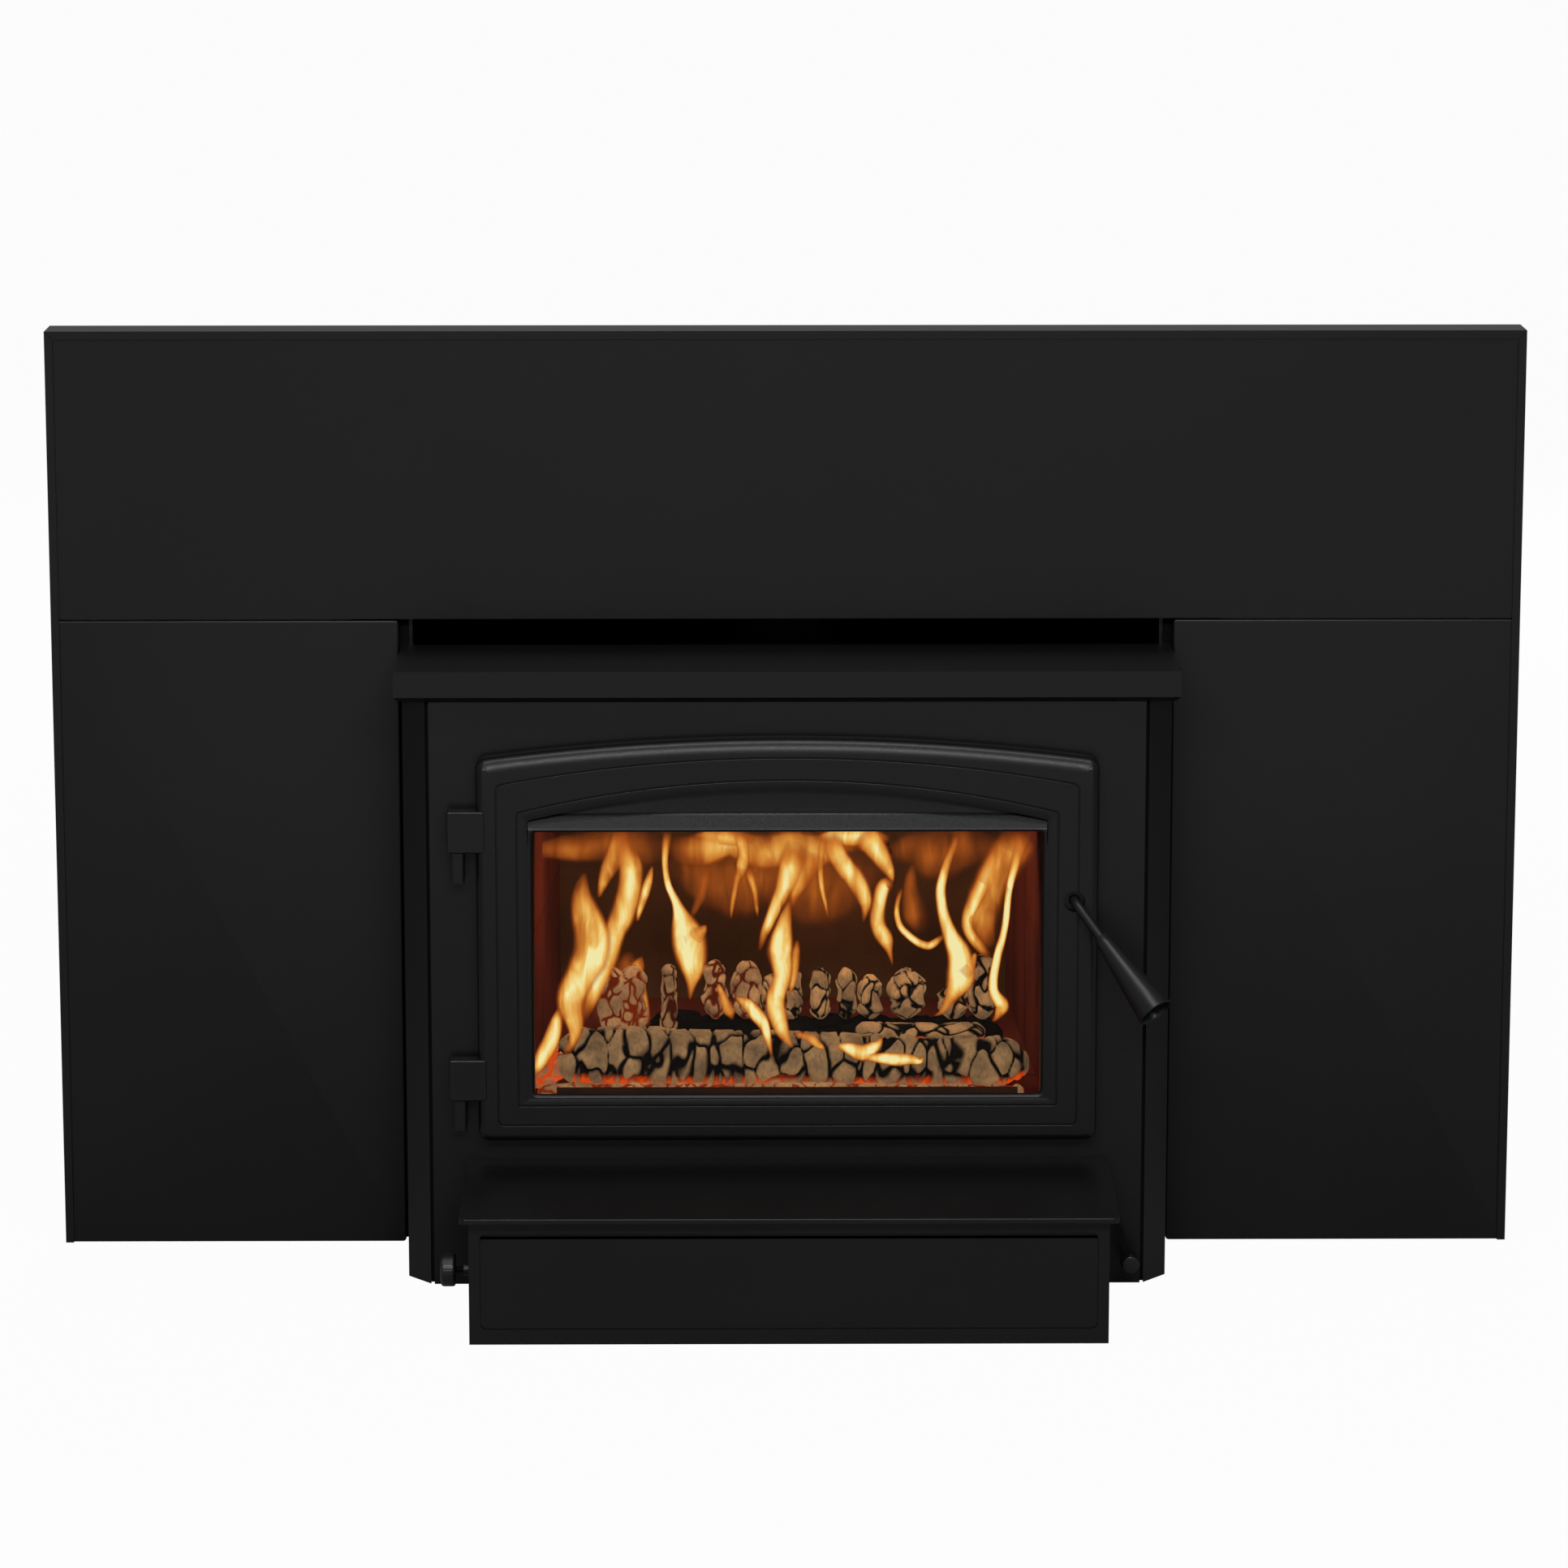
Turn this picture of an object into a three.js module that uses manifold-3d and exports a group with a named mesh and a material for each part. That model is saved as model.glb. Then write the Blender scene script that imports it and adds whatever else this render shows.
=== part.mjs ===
// A wood-burning fireplace insert: a brick-lined steel firebox inside a warm-air casing, with a cast
// door, an ash lip over a blower box, and a panelled surround that hides the fireplace opening.
// Millimetres. X runs to the viewer's right, Y into the fireplace and Z up. The origin is on the
// hearth, on the centre line, in the plane of the fireplace's face that the surround's back rests on.
import * as THREE from "three";
import { mergeVertices } from "three/addons/utils/BufferGeometryUtils.js";
import Module from "manifold-3d";

const wasm = await Module();
wasm.setup();

// ---- Driving dimensions ----

const SEAT = 0.3; // gap between two pieces that rest on each other
const RUNNING = 0.4; // gap round a piece that turns

const surround = {
  width: 1270,
  height: 808.5,
  depth: 44, // from the fireplace's face to the trim's front
  bottom: 2,
  sheet: 1.6,
  recess: 2, // panel faces behind the trim's front
  hem: 18, // how far the inner edges are folded back
  foldGap: 2, // from the outer folds to the fireplace's face
  seamGap: 1.4,
};
const trim = { lip: 7, wall: 1.6, mitre: 60 };

// "proud" sizes are measured forward from the trim's front face.
const body = { half: 327, depth: 390, sheet: 3, base: 5 };
const frontPlate = { half: body.half - 23.5, proud: 127, thick: 8 };
const strip = { groove: 3, thick: 3, setback: 1.2, rearProud: frontPlate.proud - 26 };
const hood = {
  half: body.half + 5,
  proud: frontPlate.proud + 13,
  top: 537,
  band: 22,
  drop: 6, // how far the slanted underside falls behind the band
  sheet: 3,
  corner: 8,
  rear: 4,
};
const casing = { top: hood.top + 35, inset: 6 };
const bracket = { leg: 50, sheet: 2, low: 1, high: casing.top - 4 };
const lip = { top: 112, thick: 4.6, nose: 0.8, corner: 5, taper: 2 };
const housing = {
  half: body.half - 61.5,
  proud: 309,
  sheet: 2,
  flange: 9.2,
  foot: 13,
  head: 12,
  corner: 5,
  vents: 4,
  ventLow: 24,
  ventHigh: 5,
  ventPitch: 16,
  ventFrom: 12, // behind the housing's face
  ventTo: 50,
};

const door = {
  half: body.half - 63.5,
  bottom: lip.top + 19.5,
  apex: hood.top - 56,
  rise: 18, // of the arched top edge
  back: frontPlate.proud + 4, // proud size of the rear face
  proud: frontPlate.proud + 23,
  nose: 9, // radius of the rounded front edge
  overlap: 14, // onto the front plate round its opening
};
door.corner = door.nose + 1;
const grooves = [
  { half: door.half - 17.5, bottom: door.bottom + 15, apex: door.apex - 16, rise: 23.3, corner: 5 },
  { half: door.half - 34.8, bottom: door.bottom + 32, apex: door.apex - 35, rise: 28, corner: 2 },
];
const groove = { width: 1.4, deep: 2 };
const glass = {
  half: door.half - 48.2,
  low: door.bottom + 41,
  high: door.apex - 80,
  lap: 9.5,
  thick: 5,
  corner: 4,
  chamfer: 3,
};
const lunette = {
  half: glass.half + 4.5,
  apex: glass.high + 36.5,
  rise: 28,
  corner: 2,
  deep: 7,
  slope: 15,
  lean: 1.3,
};
const gasket = { inset: 3, width: 8, channel: 3.3 };
const retainer = { half: glass.half - 18, thick: 3, grip: 10, above: 14, below: 7 };

const hinge = {
  x: -(door.half + 15.5),
  proud: frontPlate.proud + 15,
  pin: 3.4,
  barrel: 5.4, // half its width
  barrelCorner: 2,
  tops: [door.apex - 62, door.bottom + 72],
  lug: 36,
  drop: 26.5,
};
const lug = { left: 9, deep: 16, corner: 4, inside: 8, cap: 6 };

const latch = {
  x: door.half - door.overlap - 6.5,
  z: door.apex - 140,
  rod: 4.2,
  recess: 9,
  recessDeep: 7,
  tailProud: frontPlate.proud - 16,
  cornerProud: door.proud + 2, // where the shaft's line meets the handle's line
  bend: 8,
  direction: [0.54, -0.497, -0.679], // right, towards the viewer, down
  bare: 39, // length of rod between the bend and the grip
  reach: 121,
};
const grip = { small: 6.5, large: 15.8, wallEnd: 2, cup: 30, cupFloor: 9 };
const screw = { bore: 3, tail: 1, head: 5, headLong: 3, crown: 3.5, crownLong: 1 };
const cam = { long: 18, half: 5.2, hub: 7, thick: 6, behind: 1 };

const firebox = {
  half: body.half - 62, // at the front
  taper: 20, // how much less it is at the back
  wall: 6,
  floor: door.bottom - 13.5,
  roof: hood.top - 31,
  back: body.depth - 60,
};
const flue = {
  bore: 152,
  wall: 6,
  flange: 16,
  flangeThick: 6,
  top: casing.top + 40,
  y: firebox.back - 130,
  clear: 2,
};
const brick = {
  thick: 32,
  floorThick: 25,
  top: firebox.roof - 108,
  front: 45,
  joint: 2.4,
  jointDeep: 2,
  course: 114,
};
const airTube = { radius: 11, wall: 2, first: -60, last: firebox.back - 90 };
const baffle = { thick: 20, front: -72 };
const support = { x: body.half - 177, width: 44, sheet: 4, front: -150 };

const blower = {
  motorHalf: 38,
  motorRadius: 36,
  footHalf: 30,
  footDeep: 40,
  shaft: 4,
  wheelRadius: 40,
  wheelLong: 92,
  wheelGap: 10,
  disc: 2,
  hubLong: 16,
  hubWall: 5,
  ring: 5,
  ringLong: 3,
  blades: 12,
  blade: 1.4,
  outletHigh: 50,
};
const speed = {
  z: 38,
  behind: 3, // the fan's axis
  knob: 14.2,
  knobLong: 12.4,
  stand: 15.5,
  shaft: 2.6,
  shaftEnd: 12,
  bushing: 5.2,
  bushingLong: 8.5,
  nut: 7,
  nutLong: 3,
  box: 22,
  boxLong: 18,
};
const air = {
  x: housing.half + 6.5,
  z: firebox.floor - firebox.wall - 22,
  shaft: 4,
  shaftOut: 2,
  hub: 6,
  barWide: 5.5,
  barThick: 4,
  barProud: frontPlate.proud + 19,
  tipZ: 26,
  lean: 18.2, // degrees from straight down, to the right
  eye: 8.2,
  knob: 7.5,
  knobLong: 12,
  closed: 14, // degrees from rest to shut
  sector: 46,
  sectorHalf: 26, // degrees
  sectorThick: 2,
  sectorBehind: 2,
};
const cover = { proudStep: 0.8, lap: 6, sheet: 1.5, topGap: 3.4 };
const intake = { wide: 44, deep: 46, high: 52, sheet: 3, behind: 6, port: 24, outlet: 28, rim: 8 };

// ---- Derived places ----

const yProud = (proud) => -(surround.depth + proud);
const plateFace = yProud(frontPlate.proud);
const plateBack = plateFace + frontPlate.thick;
const casingInner = body.half - body.sheet;
const wallFront = plateBack + SEAT;
const floorUnder = firebox.floor - firebox.wall;
const hoodUnder = hood.top - hood.sheet;
const seam = hood.top + 21; // height of the joint between the top panel and the side panels
const openingHalf = body.half + 8; // half the gap between the side panels
const panelFront = -surround.depth + surround.recess;
const panelBack = panelFront + surround.sheet;
const casingFront = panelFront + surround.hem + SEAT; // above the seam, behind the top panel's fold
const lipUnder = lip.top - lip.thick;
const blowerTop = lipUnder - SEAT;
const housingFront = yProud(housing.proud);
const fanY = (housingFront + plateFace) / 2;
const fanZ = blowerTop / 2;
const speedY = fanY + speed.behind;
const intakeX = air.x - air.hub - intake.sheet - intake.wide / 2;
const intakeFront = plateBack + SEAT + intake.behind;
const intakeRear = intakeFront + intake.deep;
const degrees = Math.PI / 180;

// ---- Colours ----

const finish = (color, roughness, metalness) => () =>
  new THREE.MeshStandardMaterial({ color, roughness, metalness });
const blackPaint = finish(0x232325, 0.55, 0.3);
const castPaint = finish(0x262628, 0.5, 0.35);
const bareSteel = finish(0x5a5a5c, 0.45, 0.9);
const fireBrick = finish(0xa5745a, 0.95, 0);
const boardMaterial = finish(0xb9b0a2, 0.95, 0);
const clearGlass = () =>
  new THREE.MeshStandardMaterial({ color: 0x2a2522, roughness: 0.05, transparent: true, opacity: 0.3 });
const ropeMaterial = finish(0x4a4a48, 1, 0);
const blackPlastic = finish(0x1b1b1c, 0.5, 0);

// ---- Solids ----

// A closed geometry as a solid that can be joined and cut.
function solid(geometry) {
  const bare = new THREE.BufferGeometry();
  const source = geometry.index ? geometry.toNonIndexed() : geometry;
  bare.setAttribute("position", source.getAttribute("position").clone());
  const merged = mergeVertices(bare, 1e-4);
  return new wasm.Manifold(
    new wasm.Mesh({
      numProp: 3,
      vertProperties: merged.attributes.position.array,
      triVerts: new Uint32Array(merged.index.array),
    }),
  );
}

// A solid as a geometry.
function geometryOf(shape) {
  const mesh = shape.getMesh();
  const positions = new Float32Array(mesh.numVert * 3);
  for (let i = 0; i < mesh.numVert; i++)
    positions.set(mesh.vertProperties.subarray(i * mesh.numProp, i * mesh.numProp + 3), i * 3);
  const geometry = new THREE.BufferGeometry();
  geometry.setAttribute("position", new THREE.BufferAttribute(positions, 3));
  geometry.setIndex(new THREE.BufferAttribute(new Uint32Array(mesh.triVerts), 1));
  const flat = geometry.toNonIndexed();
  flat.computeVertexNormals();
  return flat;
}

// A box between two X, two Y and two Z values.
function box(x0, x1, y0, y1, z0, z1) {
  const geometry = new THREE.BoxGeometry(x1 - x0, y1 - y0, z1 - z0);
  geometry.translate((x0 + x1) / 2, (y0 + y1) / 2, (z0 + z1) / 2);
  return solid(geometry);
}

const shapeOf = (points) => new THREE.Shape(points.map(([u, v]) => new THREE.Vector2(u, v)));

// An outline in X and Z, or a shape of one, as thick as from y0 to y1.
function slabXZ(outline, y0, y1, options = {}) {
  const shape = Array.isArray(outline) ? shapeOf(outline) : outline;
  const geometry = new THREE.ExtrudeGeometry(shape, {
    depth: y1 - y0,
    bevelEnabled: false,
    ...options,
  });
  geometry.rotateX(Math.PI / 2);
  geometry.translate(0, y1, 0);
  return solid(geometry);
}

// An outline in X and Y, standing from z0 to z1.
function slabXY(outline, z0, z1) {
  const geometry = new THREE.ExtrudeGeometry(shapeOf(outline), { depth: z1 - z0, bevelEnabled: false });
  geometry.translate(0, 0, z0);
  return solid(geometry);
}

// An outline in Y and Z, running from x0 to x1.
function slabYZ(outline, x0, x1) {
  const geometry = new THREE.ExtrudeGeometry(shapeOf(outline), { depth: x1 - x0, bevelEnabled: false });
  geometry.rotateY(Math.PI / 2);
  geometry.rotateX(Math.PI / 2);
  geometry.translate(x0, 0, 0);
  return solid(geometry);
}

// A round bar from one point to another.
function rod(from, to, radius, sides = 24) {
  const a = new THREE.Vector3(...from);
  const b = new THREE.Vector3(...to);
  const geometry = new THREE.CylinderGeometry(radius, radius, a.distanceTo(b), sides);
  const along = b.clone().sub(a).normalize();
  geometry.applyQuaternion(new THREE.Quaternion().setFromUnitVectors(new THREE.Vector3(0, 1, 0), along));
  const middle = a.add(b).multiplyScalar(0.5);
  geometry.translate(middle.x, middle.y, middle.z);
  return solid(geometry);
}

// A round bar along Y, at one X and Z.
const rodY = (x, z, y0, y1, radius, sides) => rod([x, y0, z], [x, y1, z], radius, sides);
// A round bar along X, at one Y and Z.
const rodX = (y, z, x0, x1, radius, sides) => rod([x0, y, z], [x1, y, z], radius, sides);
// A round bar along Z, at one X and Y.
const rodZ = (x, y, z0, z1, radius, sides) => rod([x, y, z0], [x, y, z1], radius, sides);

// Points of an arc, in degrees, both ends included.
function arc(cx, cy, radius, from, to, steps) {
  return Array.from({ length: steps + 1 }, (_, i) => {
    const angle = (from + ((to - from) * i) / steps) * degrees;
    return [cx + radius * Math.cos(angle), cy + radius * Math.sin(angle)];
  });
}

// The arched outline of the door and of all that runs parallel to it: straight sides and sill, and a
// shallow arc on top, with rounded corners. grow moves every edge outwards.
function archOutline({ half, bottom, apex, rise, corner }, grow = 0, arcSteps = 20) {
  const radius = (half * half + rise * rise) / (2 * rise) + grow;
  const wide = half + grow;
  const low = bottom - grow;
  const centre = apex + grow - radius;
  const r = Math.max(corner + grow, 0.5);
  const height = centre + Math.sqrt((radius - r) ** 2 - (wide - r) ** 2);
  const lean = Math.atan2(height - centre, wide - r) / degrees;
  return [
    ...arc(wide - r, low + r, r, -90, 0, 4),
    ...arc(wide - r, height, r, 0, lean, 4),
    ...arc(0, centre, radius, lean, 180 - lean, arcSteps).slice(1, -1),
    ...arc(r - wide, height, r, 180 - lean, 180, 4),
    ...arc(r - wide, low + r, r, 180, 270, 4),
  ];
}

// A rectangle with rounded corners, in any two coordinates.
function rounded(u0, u1, v0, v1, r, steps = 3) {
  return [
    ...arc(u1 - r, v0 + r, r, -90, 0, steps),
    ...arc(u1 - r, v1 - r, r, 0, 90, steps),
    ...arc(u0 + r, v1 - r, r, 90, 180, steps),
    ...arc(u0 + r, v0 + r, r, 180, 270, steps),
  ];
}

// The band between an outer and an inner outline.
function ringXZ(outer, inner, y0, y1) {
  const shape = shapeOf(outer);
  shape.holes.push(shapeOf(inner));
  return slabXZ(shape, y0, y1);
}

const mirrorX = (shape) => shape.mirror([1, 0, 0]);

const insert = new THREE.Group();
insert.name = "fireplace_insert";

function add(parent, name, shape, material) {
  const mesh = new THREE.Mesh(geometryOf(shape), material());
  mesh.name = name;
  parent.add(mesh);
}

function addPair(parent, name, shape, material) {
  add(parent, name.replace("SIDE", "left"), mirrorX(shape), material);
  add(parent, name.replace("SIDE", "right"), shape, material);
}

function group() {
  const made = new THREE.Group();
  insert.add(made);
  return made;
}

// ---- Surround: three folded panels in a thin trim frame ----

// A sheet panel between two X and two Z values with its edges folded back; each fold's depth is given.
function foldedPanel(x0, x1, z0, z1, folds) {
  const t = surround.sheet;
  let panel = box(x0, x1, panelFront, panelBack, z0, z1);
  const fold = (a0, a1, c0, c1, deep) => {
    if (deep > 0) panel = panel.add(box(a0, a1, panelFront, panelFront + deep, c0, c1));
  };
  fold(x0, x0 + t, z0, z1, folds.left);
  fold(x1 - t, x1, z0, z1, folds.right);
  fold(x0, x1, z0, z0 + t, folds.bottom);
  fold(x0, x1, z1 - t, z1, folds.top);
  return panel;
}

function makeSurround() {
  const parent = group();
  const half = surround.width / 2;
  const edge = half - trim.wall - SEAT;
  const top = surround.height - trim.wall - SEAT;
  const full = surround.depth - surround.recess - surround.foldGap;
  const seamLow = seam - surround.seamGap / 2;
  const seamHigh = seam + surround.seamGap / 2;
  add(
    parent,
    "surround_top_panel",
    foldedPanel(-edge, edge, seamHigh, top, { left: full, right: full, top: full, bottom: surround.hem }),
    blackPaint,
  );
  const side = foldedPanel(openingHalf, edge, surround.bottom, seamLow, {
    left: surround.hem,
    right: full,
    top: surround.hem,
    bottom: surround.hem,
  });
  addPair(parent, "surround_SIDE_panel", side, blackPaint);

  // The trim is an angle: a wall round the outside, and a lip over the panels' edges, mitred on top.
  const { wall, lip: lipWide, mitre } = trim;
  const high = surround.height;
  const low = surround.bottom;
  const lipBack = -surround.depth + surround.recess - SEAT;
  const frame = box(-half, half, -surround.depth, 0, low, high)
    .subtract(box(wall - half, half - wall, lipBack, 1, low - 1, high - wall))
    .subtract(box(lipWide - half, half - lipWide, -surround.depth - 1, 1, low - 1, high - lipWide));
  const cut = SEAT / 2;
  const topWedge = [
    [-half - 2 + cut, high + 2],
    [-half + mitre + cut, high - mitre],
    [half - mitre - cut, high - mitre],
    [half + 2 - cut, high + 2],
  ];
  const sideWedge = [
    [half + 2, low - 1],
    [half + 2, high + 2 - cut],
    [half - mitre, high - mitre - cut],
    [half - mitre, low - 1],
  ];
  const deep = surround.depth + 1;
  add(parent, "trim_top", frame.intersect(slabXZ(topWedge, -deep, 1)), blackPaint);
  addPair(parent, "trim_SIDE", frame.intersect(slabXZ(sideWedge, -deep, 1)), blackPaint);

  // An angle behind each side panel ties it to the casing's side and closes the slit between them.
  const inner = body.half + SEAT;
  const rear = casingFront;
  const angle = box(inner, inner + bracket.leg, rear, rear + bracket.sheet, bracket.low, bracket.high).add(
    box(inner, inner + bracket.sheet, rear, rear + bracket.leg, bracket.low, bracket.high),
  );
  addPair(parent, "surround_bracket_SIDE", angle, blackPaint);
}

// ---- Warm-air casing, front plate and hood ----

function makeCasing() {
  const parent = group();
  const sideFront = yProud(strip.rearProud);
  const { inset } = casing;
  const baseCorner = plateBack + SEAT;
  const base = [
    [-(frontPlate.half - inset), baseCorner],
    [frontPlate.half - inset, baseCorner],
    [body.half - inset, sideFront + inset],
    [body.half, sideFront + inset],
    [body.half, body.depth],
    [-body.half, body.depth],
    [-body.half, sideFront + inset],
    [-(body.half - inset), sideFront + inset],
  ];
  add(parent, "base_plate", slabXY(base, 0, body.base), blackPaint);

  const low = body.base + SEAT;
  const high = casing.top - body.sheet - SEAT;
  const rearFace = body.depth - body.sheet;
  const sideOutline = [
    [sideFront + SEAT + inset, low],
    [rearFace - SEAT, low],
    [rearFace - SEAT, high],
    [casingFront, high],
    [casingFront, hoodUnder - SEAT],
    [sideFront + SEAT + inset, hoodUnder - SEAT],
  ];
  addPair(parent, "casing_SIDE", slabYZ(sideOutline, casingInner, body.half), blackPaint);
  add(parent, "casing_back", box(-body.half, body.half, rearFace, body.depth, low, high), blackPaint);
  const flueClear = flue.bore / 2 + flue.wall + flue.clear;
  const roof = box(-body.half, body.half, casingFront, body.depth, casing.top - body.sheet, casing.top)
    .subtract(rodZ(0, flue.y, 0, casing.top + 1, flueClear, 32));
  add(parent, "casing_top", roof, blackPaint);

  // The corner strips stand at a slant between the front plate and the casing's sides.
  const startX = frontPlate.half + strip.groove;
  const startY = plateFace + strip.setback;
  const stripOutline = [
    [startX, startY],
    [body.half, sideFront],
    [body.half, sideFront + inset],
    [body.half - strip.thick, sideFront + inset],
    [body.half - strip.thick, sideFront + 1],
    [startX, startY + strip.thick * 1.3],
  ];
  addPair(parent, "corner_strip_SIDE", slabXY(stripOutline, 0, hoodUnder - SEAT), blackPaint);
}

function makeFrontPlate() {
  const parent = group();
  let plate = box(-frontPlate.half, frontPlate.half, plateFace, plateBack, 0, hoodUnder - SEAT);
  plate = plate.subtract(slabXZ(archOutline(door, -door.overlap), plateFace - 1, plateBack + 1));
  plate = plate.subtract(rodY(air.x, air.z, plateFace - 1, plateBack + 1, air.shaft + RUNNING));
  const inner = blower.motorHalf + blower.wheelGap;
  const low = fanZ - blower.outletHigh / 2;
  const high = low + blower.outletHigh;
  const outlet = box(inner, inner + blower.wheelLong, plateFace - 1, plateBack + 1, low, high);
  plate = plate.subtract(outlet).subtract(mirrorX(outlet));
  add(parent, "front_plate", plate, blackPaint);
}

function makeHood() {
  const parent = group();
  const front = yProud(hood.proud);
  const rear = -surround.depth - hood.rear;
  const low = hood.top - hood.band;
  const t = hood.sheet;
  // The outside is one block with a slanted underside behind the front band, cut hollow from below.
  const profile = [
    [front, hood.top],
    [front, low],
    [plateFace - SEAT, low - hood.drop],
    [plateFace - SEAT, low - hood.drop + t],
    [front + t, low + t / 2],
    [front + t, hoodUnder],
    [rear, hoodUnder],
    [rear, hood.top],
  ];
  let shape = slabYZ(profile, -hood.half, hood.half);
  const cheek = slabYZ(
    [
      [front + t / 2, hood.top - 1],
      [front + t / 2, low],
      [plateFace, low - hood.drop],
      [plateFace + t, low],
      [rear, low],
      [rear, hood.top - 1],
    ],
    hood.half - t,
    hood.half,
  );
  shape = shape.add(cheek).add(mirrorX(cheek));
  const outline = rounded(-hood.half, hood.half, low - hood.drop, hood.top + 40, hood.corner, 5);
  shape = shape.intersect(slabXZ(outline, front - 1, rear + 1));
  add(parent, "top_hood", shape, blackPaint);
}

// ---- Firebox ----

// Half the firebox's width outside, less an inset, at one Y: it narrows evenly towards the back.
function fireHalf(y, inset = 0) {
  const along = (y - wallFront) / (firebox.back - wallFront);
  return firebox.half - firebox.taper * along - inset;
}

// The firebox's plan from side to side, between two Y values and inside an inset.
function firePlan(front, back, inset = 0) {
  const f = fireHalf(front, inset);
  const b = fireHalf(back, inset);
  return [
    [-f, front],
    [f, front],
    [b, back],
    [-b, back],
  ];
}

// The plan of a right-hand wall between two insets.
const wallPlan = (front, back, outer, inner) => [
  [fireHalf(front, inner), front],
  [fireHalf(front, outer), front],
  [fireHalf(back, outer), back],
  [fireHalf(back, inner), back],
];

function makeFirebox() {
  const parent = group();
  const { wall, back } = firebox;
  const slot = box(
    intakeX - intake.outlet / 2,
    intakeX + intake.outlet / 2,
    intakeFront + intake.rim,
    intakeRear - intake.rim,
    0,
    firebox.floor + 1,
  );
  const plan = firePlan(wallFront, back);
  add(parent, "firebox_floor", slabXY(plan, floorUnder, firebox.floor).subtract(slot), blackPaint);
  const low = firebox.floor + SEAT;
  const high = firebox.roof - wall - SEAT;
  const side = slabXY(wallPlan(wallFront, back, 0, wall), low, high);
  addPair(parent, "firebox_SIDE_wall", side, blackPaint);
  const rear = slabXY(firePlan(back - wall, back, wall + SEAT), low, high);
  add(parent, "firebox_back_wall", rear, blackPaint);
  const bore = rodZ(0, flue.y, 0, flue.top + 1, flue.bore / 2, 32);
  const roof = slabXY(plan, firebox.roof - wall, firebox.roof);
  add(parent, "firebox_roof", roof.subtract(bore), blackPaint);

  const seat = firebox.roof + SEAT;
  const outside = flue.bore / 2 + flue.wall;
  const collar = rodZ(0, flue.y, seat, flue.top, outside, 32)
    .add(rodZ(0, flue.y, seat, seat + flue.flangeThick, outside + flue.flange, 32))
    .subtract(bore);
  add(parent, "flue_collar", collar, castPaint);

  // Each support is a channel, open downwards, that carries the firebox above the warm-air passage.
  const { x, sheet, front } = support;
  const wide = support.width / 2;
  const top = floorUnder - SEAT;
  const channel = box(x - wide, x + wide, front, back, body.base + SEAT, top).subtract(
    box(x - wide + sheet, x + wide - sheet, front - 1, back + 1, 0, top - sheet),
  );
  addPair(parent, "firebox_support_SIDE", channel, blackPaint);
}

// Where the joints between bricks fall along a length.
function courses(from, to) {
  const count = Math.max(2, Math.round((to - from) / brick.course));
  return Array.from({ length: count - 1 }, (_, i) => from + ((to - from) * (i + 1)) / count);
}

function makeLining() {
  const parent = group();
  const front = wallFront + brick.front;
  const back = firebox.back - firebox.wall - SEAT;
  const outer = firebox.wall + SEAT;
  const inner = outer + brick.thick;
  const floorLow = firebox.floor + SEAT;
  const floorTop = floorLow + brick.floorThick;
  const wallLow = floorTop + SEAT;
  const j = brick.joint / 2;
  const deep = brick.jointDeep;
  const wide = firebox.half;
  const cutAll = (panel, lines) => lines.reduce((shape, line) => shape.subtract(line), panel);

  const floor = slabXY(firePlan(front, back, outer), floorLow, floorTop);
  const floorJoints = [
    ...courses(-wide, wide).map((x) => box(x - j, x + j, front - 1, back + 1, floorTop - deep, floorTop + 1)),
    ...courses(front, back).map((y) => box(-wide, wide, y - j, y + j, floorTop - deep, floorTop + 1)),
  ];
  add(parent, "brick_floor", cutAll(floor, floorJoints), fireBrick);

  const side = slabXY(wallPlan(front, back, outer, inner), wallLow, brick.top);
  const face = wallPlan(front - 1, back + 1, inner - deep, inner + 1);
  const sideJoints = [
    ...courses(wallLow, brick.top).map((z) => slabXY(face, z - j, z + j)),
    ...courses(front, back).map((y) =>
      box(fireHalf(y, inner) - 1, fireHalf(y, inner) + deep, y - j, y + j, wallLow - 1, brick.top + 1),
    ),
  ];
  addPair(parent, "brick_SIDE", cutAll(side, sideJoints), fireBrick);

  const rearFace = back - brick.thick;
  const rear = slabXY(firePlan(rearFace, back, inner + SEAT), wallLow, brick.top);
  const rearJoints = [
    ...courses(wallLow, brick.top).map((z) => box(-wide, wide, rearFace - 1, rearFace + deep, z - j, z + j)),
    ...courses(-fireHalf(back, inner), fireHalf(back, inner)).map((x) =>
      box(x - j, x + j, rearFace - 1, rearFace + deep, wallLow - 1, brick.top + 1),
    ),
  ];
  add(parent, "brick_back", cutAll(rear, rearJoints), fireBrick);

  // Three air tubes span the firebox on top of the bricks and carry the two baffle boards.
  const { radius, wall, first, last } = airTube;
  const tubeZ = brick.top + SEAT + radius;
  ["front", "middle", "rear"].forEach((place, i) => {
    const y = first + ((last - first) * i) / 2;
    const half = fireHalf(y + radius, outer);
    const tube = rodX(y, tubeZ, -half, half, radius, 16).subtract(
      rodX(y, tubeZ, -half - 1, half + 1, radius - wall, 16),
    );
    add(parent, "air_tube_" + place, tube, bareSteel);
  });
  const boardLow = tubeZ + radius + SEAT;
  const middle = SEAT / 2;
  const plan = [[middle, baffle.front], ...firePlan(baffle.front, back, outer).slice(1, 3), [middle, back]];
  addPair(parent, "baffle_SIDE", slabXY(plan, boardLow, boardLow + baffle.thick), boardMaterial);
}

// ---- Air control ----

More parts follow.
